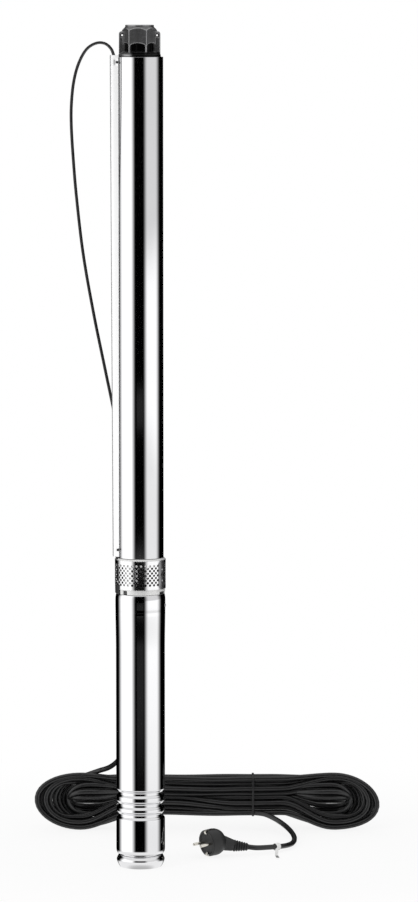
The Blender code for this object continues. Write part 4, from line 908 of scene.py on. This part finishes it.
def hank_route():
    """The cable's route through the hank: down round the left end, right below, up and back on top."""
    route = []
    for i, key in enumerate(HANK_ORDER):
        left, right = turn_of(*key)[3:]
        if i:
            route += [hank_place(x, True, *key) for x in np.linspace(right, left, RUN_POINTS)]
        route += lobe(False, *key, start=0 if i else FIRST_LOBE_START)
        if i == len(HANK_ORDER) - 1:
            last = [x for x in np.linspace(left, right, RUN_POINTS) if x < CROSSING[1]]
            route += [hank_place(x, False, *key) for x in last]
            break
        after = HANK_ORDER[i + 1]
        for x in np.linspace(left, turn_of(*after)[4], RUN_POINTS):
            share = ramp((x - CROSSING[0]) / (CROSSING[1] - CROSSING[0]))
            route.append(hank_place(x, False, *key).lerp(hank_place(x, False, *after), share))
        route += lobe(True, *after)
    return route


def along_length(route):
    return sum((b - a).length for a, b in zip(route, route[1:]))


def drop_cable():
    """One round cable from the splice into the hank, and out of it to the plug."""
    middle = smooth_route([*DROP_ROUTE[-3:], *hank_route(), *TAIL_ROUTE[:4]], CABLE_STEP)
    start = smooth_route(DROP_ROUTE, CABLE_STEP)
    end = smooth_route(TAIL_ROUTE, 0.8 * CABLE_STEP)
    # The three stretches overlap and are joined where they lie closest
    searched_first, searched_last = 200, 60
    first = min(range(searched_first), key=lambda i: (middle[i] - start[-1]).length)
    tail = range(len(middle) - searched_last, len(middle))
    last = max(tail, key=lambda i: -(middle[i] - end[0]).length)
    route = start[:-1] + middle[first:last] + end
    curve = bpy.data.curves.new("drop_cable_round", "CURVE")
    curve.dimensions = "3D"
    curve.bevel_depth = CABLE_RADIUS
    curve.bevel_resolution = 3
    curve.use_fill_caps = True
    spline = curve.splines.new("POLY")
    spline.points.add(len(route) - 1)
    for point, place in zip(spline.points, route):
        point.co = (*place, 1)
    spline.use_smooth = True
    return shown_object("drop_cable_round", curve), along_length(route)


def flat_section():
    """Outline of the flat lead: three cores in a row under one sheath."""
    outline, steps = [], 28
    for i in range(steps):
        a = math.tau * i / steps
        u = math.copysign(abs(math.cos(a)) ** 0.62, math.cos(a)) * LEAD_WIDTH / 2
        v = math.copysign(abs(math.sin(a)) ** 0.8, math.sin(a)) * LEAD_THICKNESS / 2
        waist = 0.0002 * (1 - math.cos(3 * math.pi * (u / LEAD_WIDTH * 2 + 1))) / 2
        outline.append((u, v - math.copysign(waist, v) * (abs(v) > 0.0012)))
    return outline


def guard_point(side, height, lift):
    """A point over the shell at the guard: across it, along it and out from the shell's surface."""
    reach = math.sqrt(SHELL_RADIUS**2 - side**2) + lift
    return GUARD_OUT * reach + GUARD_ACROSS * side + Vector((0, 0, height))


def free_lead():
    """The flat lead from the guard's top end, over its bend and down to the splice."""
    route = smooth_route(LEAD_ROUTE, 0.004)
    lead = swept("flat_lead", route, flat_section(), GUARD_ACROSS)
    put(lead, "black_cable", stands_for=["free_lead"], bend=60)
    round(along_length(route), 3)


def guarded_lead():
    """The flat lead from the motor's gland through the strainer and up the shell under its guard."""
    aside = -0.0028
    gland = 0.0285 - SHELL_RADIUS
    inner = STRAINER_RADIUS - 0.0006 - 0.0013 - LEAD_THICKNESS / 2 - SHELL_RADIUS
    outer = LEAD_THICKNESS / 2 + 0.0006
    stations = (
        (CASE_TOP + 0.0072, gland),
        (CASE_TOP + 0.0110, gland),
        (STRAINER_BOTTOM + 0.0090, inner - 0.0006),
        (STRAINER_BOTTOM + 0.0140, inner),
        (STRAINER_TOP + 0.0010, inner),
        (SHELL_BOTTOM - 0.0020, inner + 0.0010),
        (SHELL_BOTTOM + 0.0050, outer),
        (SHELL_BOTTOM + 0.0150, outer),
        (GUARD_TOP - 0.0045, outer),
    )
    held = [guard_point(aside, height, lift) for height, lift in stations]
    under = swept("lead_in_guard", smooth_route(held[:-1], 0.003) + held[-1:], flat_section(), GUARD_ACROSS)
    put(under, "black_cable", stands_for=["guarded_lead"], bend=60)


def lead_splice():
    """Shrunk sleeve where the flat lead becomes the round cable, with the joints inside it just showing."""
    top, bottom = Vector(LEAD_ROUTE[-1]), Vector(DROP_ROUTE[0])
    along = (bottom - top).normalized()
    length = (bottom - top).length
    inset, steps, body, bumps = 0.0003, 48, 0.0066, 0.00022
    profile = [(0, inset), (0.0030, inset)]
    for i in range(1, steps):
        t = i / steps
        radius = max(0.0031 if t < 0.5 else 0.0048, body * ramp(min(t, 1 - t) * 5.5))
        core = bumps * math.sin(t * 40) * ramp(4 * t) * ramp(4 - 4 * t)
        profile.append((radius + core, inset + (length - 2 * inset) * t))
    profile += [(0.0046, length - inset), (0, length - inset)]
    sleeve = turned("splice_sleeve", profile, 32, stood(top, along))
    put(sleeve, "black_rubber", stands_for=["lead_splice"], bend=50)


def round_cable():
    """The drop cable with its plug, tag and tie."""
    cable, length = drop_cable()
    put(cable, "black_cable", stands_for=["drop_cable", "cable_hank", "cable_tail"])
    pieces = plug_pieces() + tag_pieces() + [hank_tie()]


def hank_tie():
    """Thin strap round the hank's runs."""
    middle = Vector((TIE_PLACE, HANK_BACK, 0.0570))
    loop = rounded_box(0.0200, 0.0336, 0.0052)
    half, edge, thin = 0.0014, 0.0017, 0.0005
    section = ((-half, -thin), (half, -thin), (edge, 0), (half, thin), (-half, thin), (-edge, 0))
    points, faces = [], []
    for depth, tall in loop:
        out = Vector((0, depth, tall)).normalized()
        points += [middle + Vector((u, depth, tall)) + out * v for u, v in section]
    count = len(loop)
    sides = len(section)
    for i in range(count):
        faces += between(sides * i, sides * ((i + 1) % count), sides)
    strap = solid("tie_strap", points, faces)
    return put(strap, "black_rubber", stands_for=["hank_tie"])


def tag_pieces():
    """White band on the tail, and its strip that drops to the ground and lies there."""
    points = [Vector(p) for p in TAIL_ROUTE]
    place = points[-3].lerp(points[-4], 0.35)
    along = (points[-3] - points[-4]).normalized()
    inner, outer, half = CABLE_RADIUS + 0.0006, CABLE_RADIUS + 0.0018, 0.0044
    corners = [(outer, half, 0.0006), (outer, -half, 0.0006), (inner, -half, 0.0002), (inner, half, 0.0002)]
    band = turned("tag_band", eased(corners), 48, stood(place, along))
    put(band, "white_tag", stands_for=["cable_tag"])
    front = place + Vector((0, -0.0058, 0))
    path = [
        front + Vector((0.0004, 0.0006, 0.0010)),
        front + Vector((0.0002, -0.0022, -0.0030)),
        Vector((front.x, front.y - 0.0080, 0.0026)),
        Vector((front.x - 0.0006, front.y - 0.0180, 0.0010)),
        Vector((front.x - 0.0002, front.y - 0.0360, 0.0012)),
        Vector((front.x + 0.0012, front.y - 0.0580, 0.0024)),
    ]
    label = swept("tag_strip", smooth_route(path, 0.0015), box(0.0024, 0.00022), (1, 0, 0))
    return [band, put(label, "white_tag")]


def plug_frame():
    """Where the plug's seat and its middle are, and the way that the cable runs into it."""
    end = Vector(TAIL_ROUTE[-1])
    back = (end - Vector(TAIL_ROUTE[-2])).normalized()
    relief, neck, ground_gap = 0.0253, 0.0280, 0.0020
    seat = end + back * relief
    centre = seat + back * neck
    centre.z = PLUG_RADIUS + ground_gap
    return seat, back, centre


def plug_pieces():
    """Angled two-pin plug: moulded body, ribbed strain relief, earth clips and pins."""
    seat, back, centre = plug_frame()
    stand = stood(centre, PLUG_FACE)
    corners = [
        (0.0170, 0.0176, 0.0008),
        (0.0184, 0.0190, 0.0008),
        (0.0216, 0.0190, 0.0016),
        (PLUG_RADIUS, 0.0020, 0.0030),
        (0.0186, -0.0064, 0.0040),
        (0.0125, -0.0116, 0.0040),
    ]
    body = turned("plug_moulding", [(0, 0.0176), *eased(corners), (0, -0.0130)], 72, stand)
    start = seat - back * 0.0012
    way = centre - start
    reach = way.length
    profile = [(0, 0), (0.0088, 0), (0.0095, 0.0024), (0.0132, reach - 0.006), (0.0138, reach), (0, reach)]
    cuts = []
    for side in (-1, 1):
        half, near, far = 0.0050, side * 0.0186, side * 0.0260
        outline = [(-half, near), (half, near), (half, far), (-half, far)][::side]
        cuts.append(prism(f"clip_seat_{side}", outline, 0.0010, 0.0280, stand))
    joined(body, [turned("plug_neck", profile, 48, stood(start, way))], "UNION")
    joined(body, cuts)
    cast(body, 0.0006, 3, 0.5)
    put(body, "black_rubber", stands_for=["plug_body"], bend=50)
    return [body, *strain_relief(seat, back), *plug_metal(stand)]


def strain_relief(seat, back):
    """Ribbed sleeve behind the plug, which keeps the cable from a sharp bend."""
    ribs = Pattern("strain_ribs", Ribs=6, Pitch=0.0040, Root=0.0054, Swell=0.00062, Bead=0.0012)
    offset = ribs.vector(0, 0, ribs.of("Pitch"))
    line = ribs.shape("MeshLine", {"Count": ribs.of("Ribs"), "Offset": offset})
    order = ribs.level("GeometryNodeInputIndex")
    placed = {"Points": line, "Instance": ribs.circle(32, 1.0)}
    placed = ribs.shape("InstanceOnPoints", placed)
    wide = ribs.of("Root") + order * ribs.of("Swell")
    scale = {"Instances": placed, "Scale": ribs.vector(wide, wide, 1.0)}
    sized = ribs.shape("ScaleInstances", scale)
    real = ribs.shape("RealizeInstances", {"Geometry": sized})
    bead = ribs.circle(10, ribs.of("Bead"))
    rolled = ribs.shape("CurveToMesh", {"Curve": real, "Profile Curve": bead})
    rib_set = ribs.piece("relief_ribs", rolled, "black_rubber", stood(seat - back * 0.0228, back))
    end = 0.0262
    core = [(0, -0.0005), (0.0046, -0.0005), (0.0050, 0.0006), (0.0074, 0.0230), (0.0086, end), (0, end)]
    sleeve = turned("relief_core", core, 32, stood(seat - back * 0.0250, back))
    return [put(rib_set, "black_rubber"), put(sleeve, "black_rubber")]


def plug_metal(stand):
    """Two round pins in the plug's face and the earth clips at its edge."""
    pieces = []
    root, shank, apart = 0.0170, 0.0024, 0.0095
    shape = [(0, root), (shank, root), (shank, 0.0362), (0.0021, 0.0373), (0.0014, 0.0379), (0, 0.0380)]
    for i, side in enumerate((-apart, apart)):
        pin = turned(f"contact_pin_{i + 1}", shape, 24, stand @ Matrix.Translation((side, 0, 0)))
        pieces.append(put(pin, "plug_pin_metal", stands_for=[f"plug_pin_{i + 1}"]))
    route = [(0.0150, 0.0184), (0.0172, 0.0197), (0.0192, 0.0202), (0.0208, 0.0186)]
    route += [(0.0214, 0.0140), (0.0206, 0.0085), (0.0192, 0.0035)]
    strip = box(0.0026, 0.0003)
    across = stand.to_3x3() @ Vector((1, 0, 0))
    for side, name in ((-1, "low"), (1, "high")):
        path = [stand @ Vector((0, side * y, z)) for y, z in route]
        clip = swept(f"earth_clip_{name}", smooth_route(path, 0.0008), strip, across)
        pieces.append(put(clip, "plug_pin_metal"))
    return pieces


def discharge_head():
    """Hexagon casting over the pump, with arched recesses between its corner ribs and two rope ears."""
    spigot = SHELL_RADIUS - WALL - 0.0003
    shoulder = HEAD_TOP - 0.0290
    seat = SHELL_TOP - 0.0110
    profile = [
        (RING_RADIUS, HEAD_TOP),
        (RING_RADIUS, HEAD_TOP - 2 * RING_HEIGHT),
        (NECK_RADIUS, HEAD_TOP - 2 * RING_HEIGHT),
        (NECK_RADIUS, HEAD_FLANGE + 0.003),
        (0.0283, HEAD_FLANGE),
        (0.0333, HEAD_FLANGE - 0.003),
        (0.0333, SHELL_TOP + 0.0003),
        (spigot, SHELL_TOP - 0.001),
        (spigot, SHELL_TOP - 0.0240),
        (spigot - 0.004, SHELL_TOP - 0.0240),
        (0.0100, seat - 0.004),
        (0.0100, seat),
        (0.0142, seat + 0.0042),
        (0.0142, shoulder),
        (0.0152, shoulder),
        (0.0152, HEAD_TOP - 0.0015),
        (0.0164, HEAD_TOP),
    ]
    head = turned("pump_head", profile, 96)
    joined(head, [hexagon_body()], "UNION")
    for side in (1, -1):
        rope_ear(head, side)
    cast(head, 0.00045, 9, 0.34)
    edge_wear(head)
    put(head, "dark_casting", stands_for=["discharge_head"], bend=60)


def hexagon_body():
    """The head's hexagon with its upper corners turned off and an arched recess in each side."""
    corners = [around(HEX_TURN + math.radians(30 + 60 * i), HEX_CORNER) for i in range(6)]
    body = prism("hexagon", corners, SHELL_TOP + 0.002, HEAD_TOP - RING_HEIGHT)
    cone_top = HEAD_TOP - RING_HEIGHT + 0.001
    below = SHELL_TOP - 0.01
    envelope = [(0, cone_top), (0.0220, cone_top), (0.0290, cone_top - 0.007), (0.0295, below), (0, below)]
    joined(body, [turned("hexagon_chamfer", envelope, 96)], "INTERSECT")
    core = turned("hexagon_core", [(0, HEAD_TOP), (0.0167, HEAD_TOP), (0.0167, below), (0, below)], 64)
    recesses = []
    foot = HEAD_FLANGE - HEAD_TOP + 0.001
    for i in range(6):
        outline = [(-RECESS_HALF, foot), (RECESS_HALF, foot)]
        crown = arc(RECESS_HALF, 0, math.pi, 15)
        outline += [(x, foot + 0.0095 + 0.0047 * y / RECESS_HALF) for x, y in crown]
        lie = Matrix.Rotation(HEX_TURN + math.radians(60 * i), 4, "Z") @ TIPPED
        recesses.append(prism(f"recess_{i}", outline, 0.0188, 0.0319, raised(HEAD_TOP) @ lie))
    return joined(body, [core, *recesses])


def rope_ear(head, side):
    """An upright ear at one corner of the head, with a flared hole for the rope."""
    root, easing, foot = 0.0182, 0.004, SHELL_TOP + 0.002
    top = HEAD_TOP - EAR_TOP
    shape = [(root, foot), (EAR_REACH, foot)]
    shape += arc(easing, 0, math.pi / 2, 7, (EAR_REACH - easing, top - easing))
    shape += [(root, top)]
    corner = HEX_TURN + math.radians(90 * side)
    lie = Matrix.Rotation(corner - math.radians(90), 4, "Z") @ TIPPED
    joined(head, [prism(f"ear_{side}", shape, -EAR_HALF, EAR_HALF, lie)], "UNION")
    middle = around(corner, 0.0277, top - 0.0062)
    end = 0.014
    flare = [(0, -end), (0.0044, -end), (0.0044, -0.0042), (0.0028, -0.0030), (0.0015, -0.0012)]
    eye = turned(f"eye_{side}", flare + [(r, -h) for r, h in flare[::-1]], 32)
    eye.data.transform(Matrix.Translation(middle) @ TIPPED)
    joined(head, [eye])


def outlet_thread():
    """The ridges of the pipe thread in the outlet."""
    thread = Pattern("outlet_thread", Turns=8.0, Lead=0.0023, Radius=0.0150, Wire=0.0007)
    ridge = thread.wound(48, 6, thread.of("Turns") * thread.of("Lead"))
    made = thread.piece("outlet_thread", ridge, "dark_casting", raised(HEAD_TOP - 0.0215))
    put(made, "dark_casting")


def pump_tube():
    """Polished tube over the stages, with its sawn edges broken."""
    ease = 0.0003
    corners = [
        (SHELL_RADIUS, SHELL_TOP, ease),
        (SHELL_RADIUS, SHELL_BOTTOM, ease),
        (SHELL_RADIUS - WALL, SHELL_BOTTOM, ease),
        (SHELL_RADIUS - WALL, SHELL_TOP, ease),
    ]
    put(turned("pump_tube", eased(corners), 192), "polished_stainless", stands_for=["pump_shell"])


def motor_case():
    """Polished case with a proud band at its rolled shoulder, rolled beads low down and a drawn-in foot."""
    proud, rounding, drawn_over = 0.0009, 0.0110, 0.0022
    band = CASE_RADIUS + proud
    shoulder = CASE_TOP - rounding
    outside = []
    for i in range(13):
        a = math.radians(90 - 7.5 * i)
        outside.append((band - drawn_over * (1 - math.cos(a)), shoulder + rounding * math.sin(a)))
    for i in range(49):
        drop = 0.0800 * i / 48
        dip = 0.00012 * math.exp(-(((shoulder - drop - TOP_GROOVE) / 0.0022) ** 2))
        outside.append((band - proud * ramp(i / 48) - dip, shoulder - 0.0002 - drop))
    margin = 0.0012
    height = GROOVES[0] + BEAD_HALF + margin
    while height > GROOVES[-1] - BEAD_HALF - margin:
        near = min(1.0, min(abs(height - groove) for groove in GROOVES) / BEAD_HALF)
        dip = 1 - ramp((near - 0.20) / 0.80)
        outside.append((CASE_RADIUS - GROOVE_DEPTH * dip, height))
        height -= 0.00045
    foot, drawn_in = 0.0082, 0.0034
    for i in range(17):
        a = math.radians(90 * i / 16)
        outside.append((CASE_RADIUS - drawn_in * (1 - math.cos(a)), CASE_BOTTOM + foot * (1 - math.sin(a))))
    wall = CASE_RADIUS - WALL
    inside = [(band - WALL - drawn_over, CASE_TOP), (wall, shoulder), (wall, GROOVES[0] + 0.008)]
    inside += [(wall - GROOVE_DEPTH, GROOVES[0]), (wall - GROOVE_DEPTH, GROOVES[-1])]
    inside += [(wall, GROOVES[-1] - 0.008), (wall, CASE_BOTTOM + foot)]
    inside += [(wall - drawn_in + 0.0004, CASE_BOTTOM)]
    case = turned("motor_case", outside + inside[::-1], 192)
    put(case, "polished_stainless", stands_for=["motor_shell"], bend=50)


def base_cap():
    """The motor's foot: a lip under the case and a round bowl down to the flat face."""
    lip = [(0.0330, 0.0303), (0.0330, 0.0200), (0.0340, 0.0198), (0.0346, 0.0196)]
    lip += eased([(0.0350, 0.0195, 0), (0.0380, 0.0134, 0.0010), (0.0382, 0.0120, 0)])
    lip += [(0.0382 - 0.0052 * (i / 16) ** 1.5, 0.0120 * (1 - i / 16)) for i in range(1, 17)]
    lip += [(0, 0), (0, 0.0040), (0.0300, 0.0040), (0.0300, 0.0303)]
    put(turned("foot_cap", lip, 160), "polished_stainless", stands_for=["base_cap"], bend=50)


def suction_bracket():
    """Cast bracket from pump to motor: two flanges, four columns, stud pockets, slots and a notch."""
    floor = FLANGE_BOTTOM
    flange_top = STRAINER_BOTTOM - 0.0005
    low, high = STRAINER_TOP + 0.0003, SHELL_BOTTOM - 0.0003
    seat = STRAINER_RADIUS - 0.0009
    rim = STRAINER_RADIUS + 0.0001
    bore = STUD_CIRCLE - 0.0062
    flange = [(FLANGE_RADIUS, flange_top), (FLANGE_RADIUS, floor), (bore, floor), (bore, flange_top)]
    lower = turned("open_bracket", flange)
    bevel, spigot, inner = 0.0022, 0.0352, 0.0285
    upper = [(spigot, high + 0.0200), (spigot, high), (rim - bevel, high), (rim, high - bevel), (rim, low)]
    upper += [(seat, low), (seat, low - 0.0035), (inner, low - 0.0035), (inner, high + 0.0200)]
    pieces = []
    for i in range(4):
        middle = COLUMN_TURN + math.radians(90 * i)
        reach = math.asin(0.0065 / seat)
        outline = [around(middle + a, seat) for a in np.linspace(-reach, reach, 9)]
        outline += [around(middle + a, seat - 0.0070) for a in (reach, -reach)]
        pieces.append(prism(f"column_{i}", outline, flange_top - 0.004, low + 0.002))
    joined(lower, [*pieces, turned("upper_flange", upper)], "UNION")
    cuts = []
    for i in range(4):
        stud = around(STUD_TURN + math.radians(90 * i), STUD_CIRCLE)
        hole, pocket, step = 0.0028, 0.0062, floor + 0.0032
        shape = [(0, floor - 0.002), (hole, floor - 0.002), (hole, step), (pocket, step)]
        shape += [(pocket, flange_top + 0.0010), (0, flange_top + 0.0010)]
        cuts.append(turned(f"pocket_{i}", shape, 40, Matrix.Translation(stud)))
    turns = np.radians(np.linspace(53, 80, 12))
    inner, outer = FLANGE_RADIUS - 0.0045, FLANGE_RADIUS + 0.002
    cuts.append(rim_block("pry_slot", turns, inner, outer, floor - 0.001, floor + 0.0042))
    notch = around(math.radians(-38), FLANGE_RADIUS)
    shape = [(0, floor - 0.001), (0.0040, floor - 0.001), (0.0040, floor + 0.0066), (0, floor + 0.0066)]
    cuts.append(turned("rim_notch", shape, 32, Matrix.Translation(notch)))
    middle = GUARD_OUT * (0.0285 + 0.0060) + GUARD_ACROSS * -0.0020
    slot = box(0.012, (LEAD_WIDTH + 0.0035) / 2)
    place = Matrix.Translation(middle) @ Matrix.Rotation(GUARD_TURN, 4, "Z")
    cuts.append(prism("lead_slot", slot, floor - 0.009, high + 0.024, place))
    turns = np.linspace(LEAD_GAP - BOOT_HALF - 0.02, LEAD_GAP + BOOT_HALF + 0.02, 16)
    outer = FLANGE_RADIUS + 0.003
    cuts.append(rim_block("boot_seat", turns, 0.0315, outer, floor - 0.002, flange_top + 0.004))
    joined(lower, cuts)
    cast(lower, 0.0006, 3, 0.45)
    put(lower, "bracket_casting", stands_for=["suction_bracket"], bend=60)


def lead_boot():
    """Rubber boot that fills the lower flange's gap round the lead."""
    turns = np.linspace(LEAD_GAP - BOOT_HALF, LEAD_GAP + BOOT_HALF, 16)
    low, high = FLANGE_BOTTOM + 0.0004, SHEET_FOOT + 0.0058
    boot = rim_block("lead_boot", turns, 0.0320, FLANGE_RADIUS + 0.0008, low, high)
    cast(boot, 0.0005, 4, 0.4)
    put(boot, "black_rubber", bend=60)


def strainer():
    """Perforated sheet wrapped round the bracket: staggered holes, and plain metal where their rows end."""
    sizes = {"Pitch": 0.0038, "Hole": 0.0020, "Radius": SHEET_RADIUS, "Height": SHEET_TOP - SHEET_FOOT}
    web = Pattern("strainer_sheet", Columns=70, Rows=13, **sizes)
    radius, pitch, columns, rows = (web.of(name) for name in ("Radius", "Pitch", "Columns", "Rows"))
    step = radius * math.tau / columns
    values = {"Vertices X": columns, "Size X": step * (columns - 1)}
    values |= {"Vertices Y": rows, "Size Y": pitch * (rows - 1)}
    grid = web.shape("MeshGrid", values)
    x, y, _ = web.parts(web.shape("InputPosition"))
    column = x.through("ROUND", x / step + (columns - 1) / 2)
    row = y.through("ROUND", y / pitch + (rows - 1) / 2)
    staggered = ((column + row) % 2) > 0.5
    last = (row < 1.5) + (row > (rows - 2.5))

    def tile(filled):
        """A rhombus round one hole, or a plain one. Its corners meet those of its neighbours."""
        fill = {"fill_type": "TRIANGLE_FAN" if filled else "NONE"}
        loop = web.shape("MeshCircle", {"Vertices": 12, "Radius": web.of("Hole")}, fill)
        px, py, _ = web.parts(web.shape("InputPosition"))
        sixth = px.through("ROUND", px.through("ARCTAN2", py, px) * (6 / math.pi))
        across = 1 - (((sixth + 6) % 12) - 6).size() / 3
        upward = 1 - (((sixth + 3) % 12) - 6).size() / 3
        corner = web.vector(across * step, upward * pitch, 0.0)
        if filled:
            return web.moved(loop, corner, (px * px + py * py) > 1e-8)
        grown = web.add("GeometryNodeExtrudeMesh", {"mode": "EDGES"}, {"Mesh": loop, "Offset Scale": 0.0})
        return web.moved(grown.outputs["Mesh"], corner, grown.outputs["Top"])

    def merged(shape):
        """The shape with the points that lie on each other made one."""
        return web.shape("MergeByDistance", {"Geometry": shape, "Distance": 0.00005})

    holed = {"Points": grid, "Selection": staggered * (1 - last), "Instance": tile(False)}
    plain = {"Points": grid, "Selection": staggered * last, "Instance": tile(True)}
    tiles = web.together(
        web.shape("InstanceOnPoints", holed),
        web.shape("InstanceOnPoints", plain),
    )
    flat = merged(web.shape("RealizeInstances", {"Geometry": tiles}))
    fx, fy, _ = web.parts(web.shape("InputPosition"))
    turn = fx / radius
    half = web.of("Height") / 2
    tall = fy.through("MINIMUM", fy.through("MAXIMUM", fy, 0 - half), half)
    wrapped = web.vector(turn.sine() * radius, 0 - turn.cosine() * radius, tall)
    bent = merged(web.moved(flat, wrapped))
    sheet = web.piece("strainer_wrap", bent, "bright_sheet", raised(SHEET_MIDDLE))
    open_lead_gap(sheet)
    thickened(sheet, SHEET_THICKNESS)
    put(sheet, "bright_sheet", stands_for=["strainer"], bend=40)


def open_lead_gap(sheet):
    """Turns the sheet's faces outwards and takes away its foot where the lead goes in."""
    gap_top, gap_half = SHEET_FOOT + 0.0062, math.radians(20)
    held = bmesh.new()
    held.from_mesh(sheet.data)
    bmesh.ops.recalc_face_normals(held, faces=held.faces)
    if sum(f.normal.xy.dot(f.calc_center_median().xy) for f in held.faces) < 0:
        bmesh.ops.reverse_faces(held, faces=held.faces)
    gap = around(LEAD_GAP, 1).xy
    open_faces = []
    for face in held.faces:
        spot = face.calc_center_median()
        if spot.z < gap_top and spot.xy.normalized().dot(gap) > math.cos(gap_half):
            open_faces.append(face)
    bmesh.ops.delete(held, geom=open_faces, context="FACES")
    held.to_mesh(sheet.data)
    held.free()


def strainer_lap():
    """The sheet's plain end, which laps over the holes, with its free corners rounded."""
    outline = rounded_box(0.0085, (SHEET_TOP - SHEET_FOOT) / 2 - 0.0004, 0.0060)
    points, faces = [], []
    count = len(outline)
    for radius in (SHEET_RADIUS + 0.0007, SHEET_RADIUS + 0.0001):
        for share in (1.0, 0.66, 0.33):
            for u, v in outline:
                turn = COLUMN_TURN + u * share / SHEET_RADIUS
                points.append(around(turn, radius, SHEET_MIDDLE + v * share))
        points.append(around(COLUMN_TURN, radius, SHEET_MIDDLE))
    side = 3 * count + 1
    for base in (0, side):
        for low in (base, base + count):
            faces += between(low, low + count, count)
        faces += fan(base + 2 * count, base + 3 * count, count)
    faces += between(0, side, count)
    put(solid("strainer_lap", points, faces), "small_steel")


def screw_head(name, radius, height, place):
    """Domed screw with a hexagon socket in its head and a short shank."""
    sides, shank, depth, drive = 24, 0.45, 0.0012, 0.42
    points = []
    for share, rise in ((shank, 0.0), (1.0, 0.0), (1.0, 0.35), (0.93, 0.66), (0.78, 0.88), (0.60, 0.97)):
        points += ring(share * radius, rise * height, sides)
    for rise in (0.99, 0.40):
        for i in range(sides):
            a = math.tau * i / sides
            reach = drive * radius / math.cos((a % (math.pi / 3)) - math.pi / 6)
            points.append((reach * math.cos(a), reach * math.sin(a), rise * height))
    floor = len(points)
    points += [(0, 0, 0.32 * height), (0, 0, -depth), *ring(shank * radius, -depth, sides)]
    faces = []
    for low in range(0, floor - sides, sides):
        faces += between(low, low + sides, sides)
    faces += fan(floor - sides, floor, sides)
    faces += between(0, floor + 2, sides) + fan(floor + 2, floor + 1, sides)
    return solid(name, points, faces, place)


def screws():
    """Guard screws, the strainer's screw with its two rivets and the motor's small fill plug."""
    for height, name in zip(GUARD_SCREWS, ("top", "bottom")):
        seat = guard_point(GUARD_SCREW_SIDE, height, 0)
        out = Vector((seat.x, seat.y, 0)).normalized()
        screw = screw_head(f"guard_fixing_{name}", 0.0021, 0.0018, stood(seat + out * 0.0024, out))
        put(screw, "blackened_screw", stands_for=[f"guard_screw_{name}"])
    out = around(COLUMN_TURN, 1)
    seat = around(COLUMN_TURN, SHEET_RADIUS + 0.0006, SHEET_MIDDLE)
    screw = screw_head("strainer_fixing", 0.0033, 0.0019, stood(seat, out))
    put(screw, "blackened_screw", stands_for=["strainer_screw"])
    sunk, edge, crown, apart = -0.0004, 0.0015, 0.0007, 0.0088
    dome = [(0, sunk), (edge, sunk), (edge, 0.0001), (0.0011, 0.0005), (0.0005, crown), (0, crown)]
    for name, rise in (("low", -apart), ("high", apart)):
        rivet = turned(f"lap_rivet_{name}", dome, 24, stood(seat + Vector((0, 0, rise)), out))
        put(rivet, "small_steel")
    side = math.radians(84)
    out = around(side, 1)
    seat = around(side, CASE_RADIUS + 0.0008, 0.4197)
    put(screw_head("fill_plug", 0.0024, 0.0012, stood(seat, out)), "small_steel")


def cable_guard():
    """Bright channel over the lead, lower at its foot, with a pressed seat for each screw."""
    heights = {GUARD_TOP, GUARD_TOP - 0.0004, GUARD_BOTTOM, GUARD_BOTTOM + 0.0004}
    for middle in GUARD_SCREWS:
        heights |= {middle + 0.0006 * i for i in range(-15, 16)}
    heights |= {GUARD_BOTTOM + 0.03 + 0.0365 * i for i in range(21)}
    rows = []
    seated, count = GUARD_SHEET + 0.0004, 41
    proud_low, proud_more, ridge_side = 0.0072, 0.0033, -0.0030
    for height in sorted(heights, reverse=True):
        share = (height - GUARD_BOTTOM) / (GUARD_TOP - GUARD_BOTTOM)
        proud = proud_low + proud_more * share
        near = min(abs(height - middle) for middle in GUARD_SCREWS)
        pressed = 1 - ramp((near - 0.0022) / 0.0044)
        row = []
        for i in range(count):
            a = math.radians(-90 + 180 / (count - 1) * i)
            side = GUARD_HALF_WIDTH * math.copysign(abs(math.sin(a)) ** 0.7, a)
            lift = proud * max(0.0, math.cos(a)) ** 0.7
            if side > ridge_side:
                slope = proud * (1.04 - max(0.0, side) / GUARD_HALF_WIDTH)
                lift = min(lift, slope) - 0.0004 * math.exp(-((side / 0.0022) ** 2))
            dip = 0.4 * pressed * ramp((side - 0.0036) / 0.0026)
            lift += (seated - lift) * dip if lift > seated else 0
            row.append(guard_point(side, height, max(lift, GUARD_SHEET) + 0.0003))
        rows.append(row)
    points = [p for row in rows for p in row]
    faces = []
    for low in range(0, len(points) - count, count):
        faces += [(low + i, low + count + i, low + count + 1 + i, low + 1 + i) for i in range(count - 1)]
    guard = solid("lead_guard", points, faces)
    if sum(f.normal.dot(GUARD_OUT) * f.area for f in guard.data.polygons) < 0:
        guard.data.flip_normals()
    thickened(guard, GUARD_SHEET)
    put(guard, "pressed_guard", stands_for=["cable_guard"], bend=40)


def valve_spring():
    """Small coil spring over the check valve's poppet, which in the pump shortens as the poppet lifts. Here
    it keeps the CAD spring's height.
    """
    low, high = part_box("valve_spring")
    height = high[2] - low[2]
    coil = Pattern("valve_coil", Turns=5.0, Radius=0.0056, Wire=0.0005, Height=height - 0.0010)
    wire = coil.wound(32, 10, coil.of("Height"))
    spring = coil.piece("valve_spring_coil", wire, "small_steel", raised(low[2] + 0.0005))
    put(spring, "small_steel", stands_for=["valve_spring"])
    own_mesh(spring)


def dress_inner():
    """The pieces inside the pump keep their CAD shapes and take their own finishes."""
    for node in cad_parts.values():
        for i, material in enumerate(node.data.materials):
            slot = material.name.split(".")[0]
            if slot in Finish.made:
                node.data.materials[i] = Finish.made[slot].material


set_camera()
set_room()
set_lamp()
set_floor()
make_finishes()
dress_inner()
free_lead()
guarded_lead()
lead_splice()
round_cable()
discharge_head()
outlet_thread()
pump_tube()
motor_case()
base_cap()
suction_bracket()
lead_boot()
strainer()
strainer_lap()
cable_guard()
screws()
valve_spring()
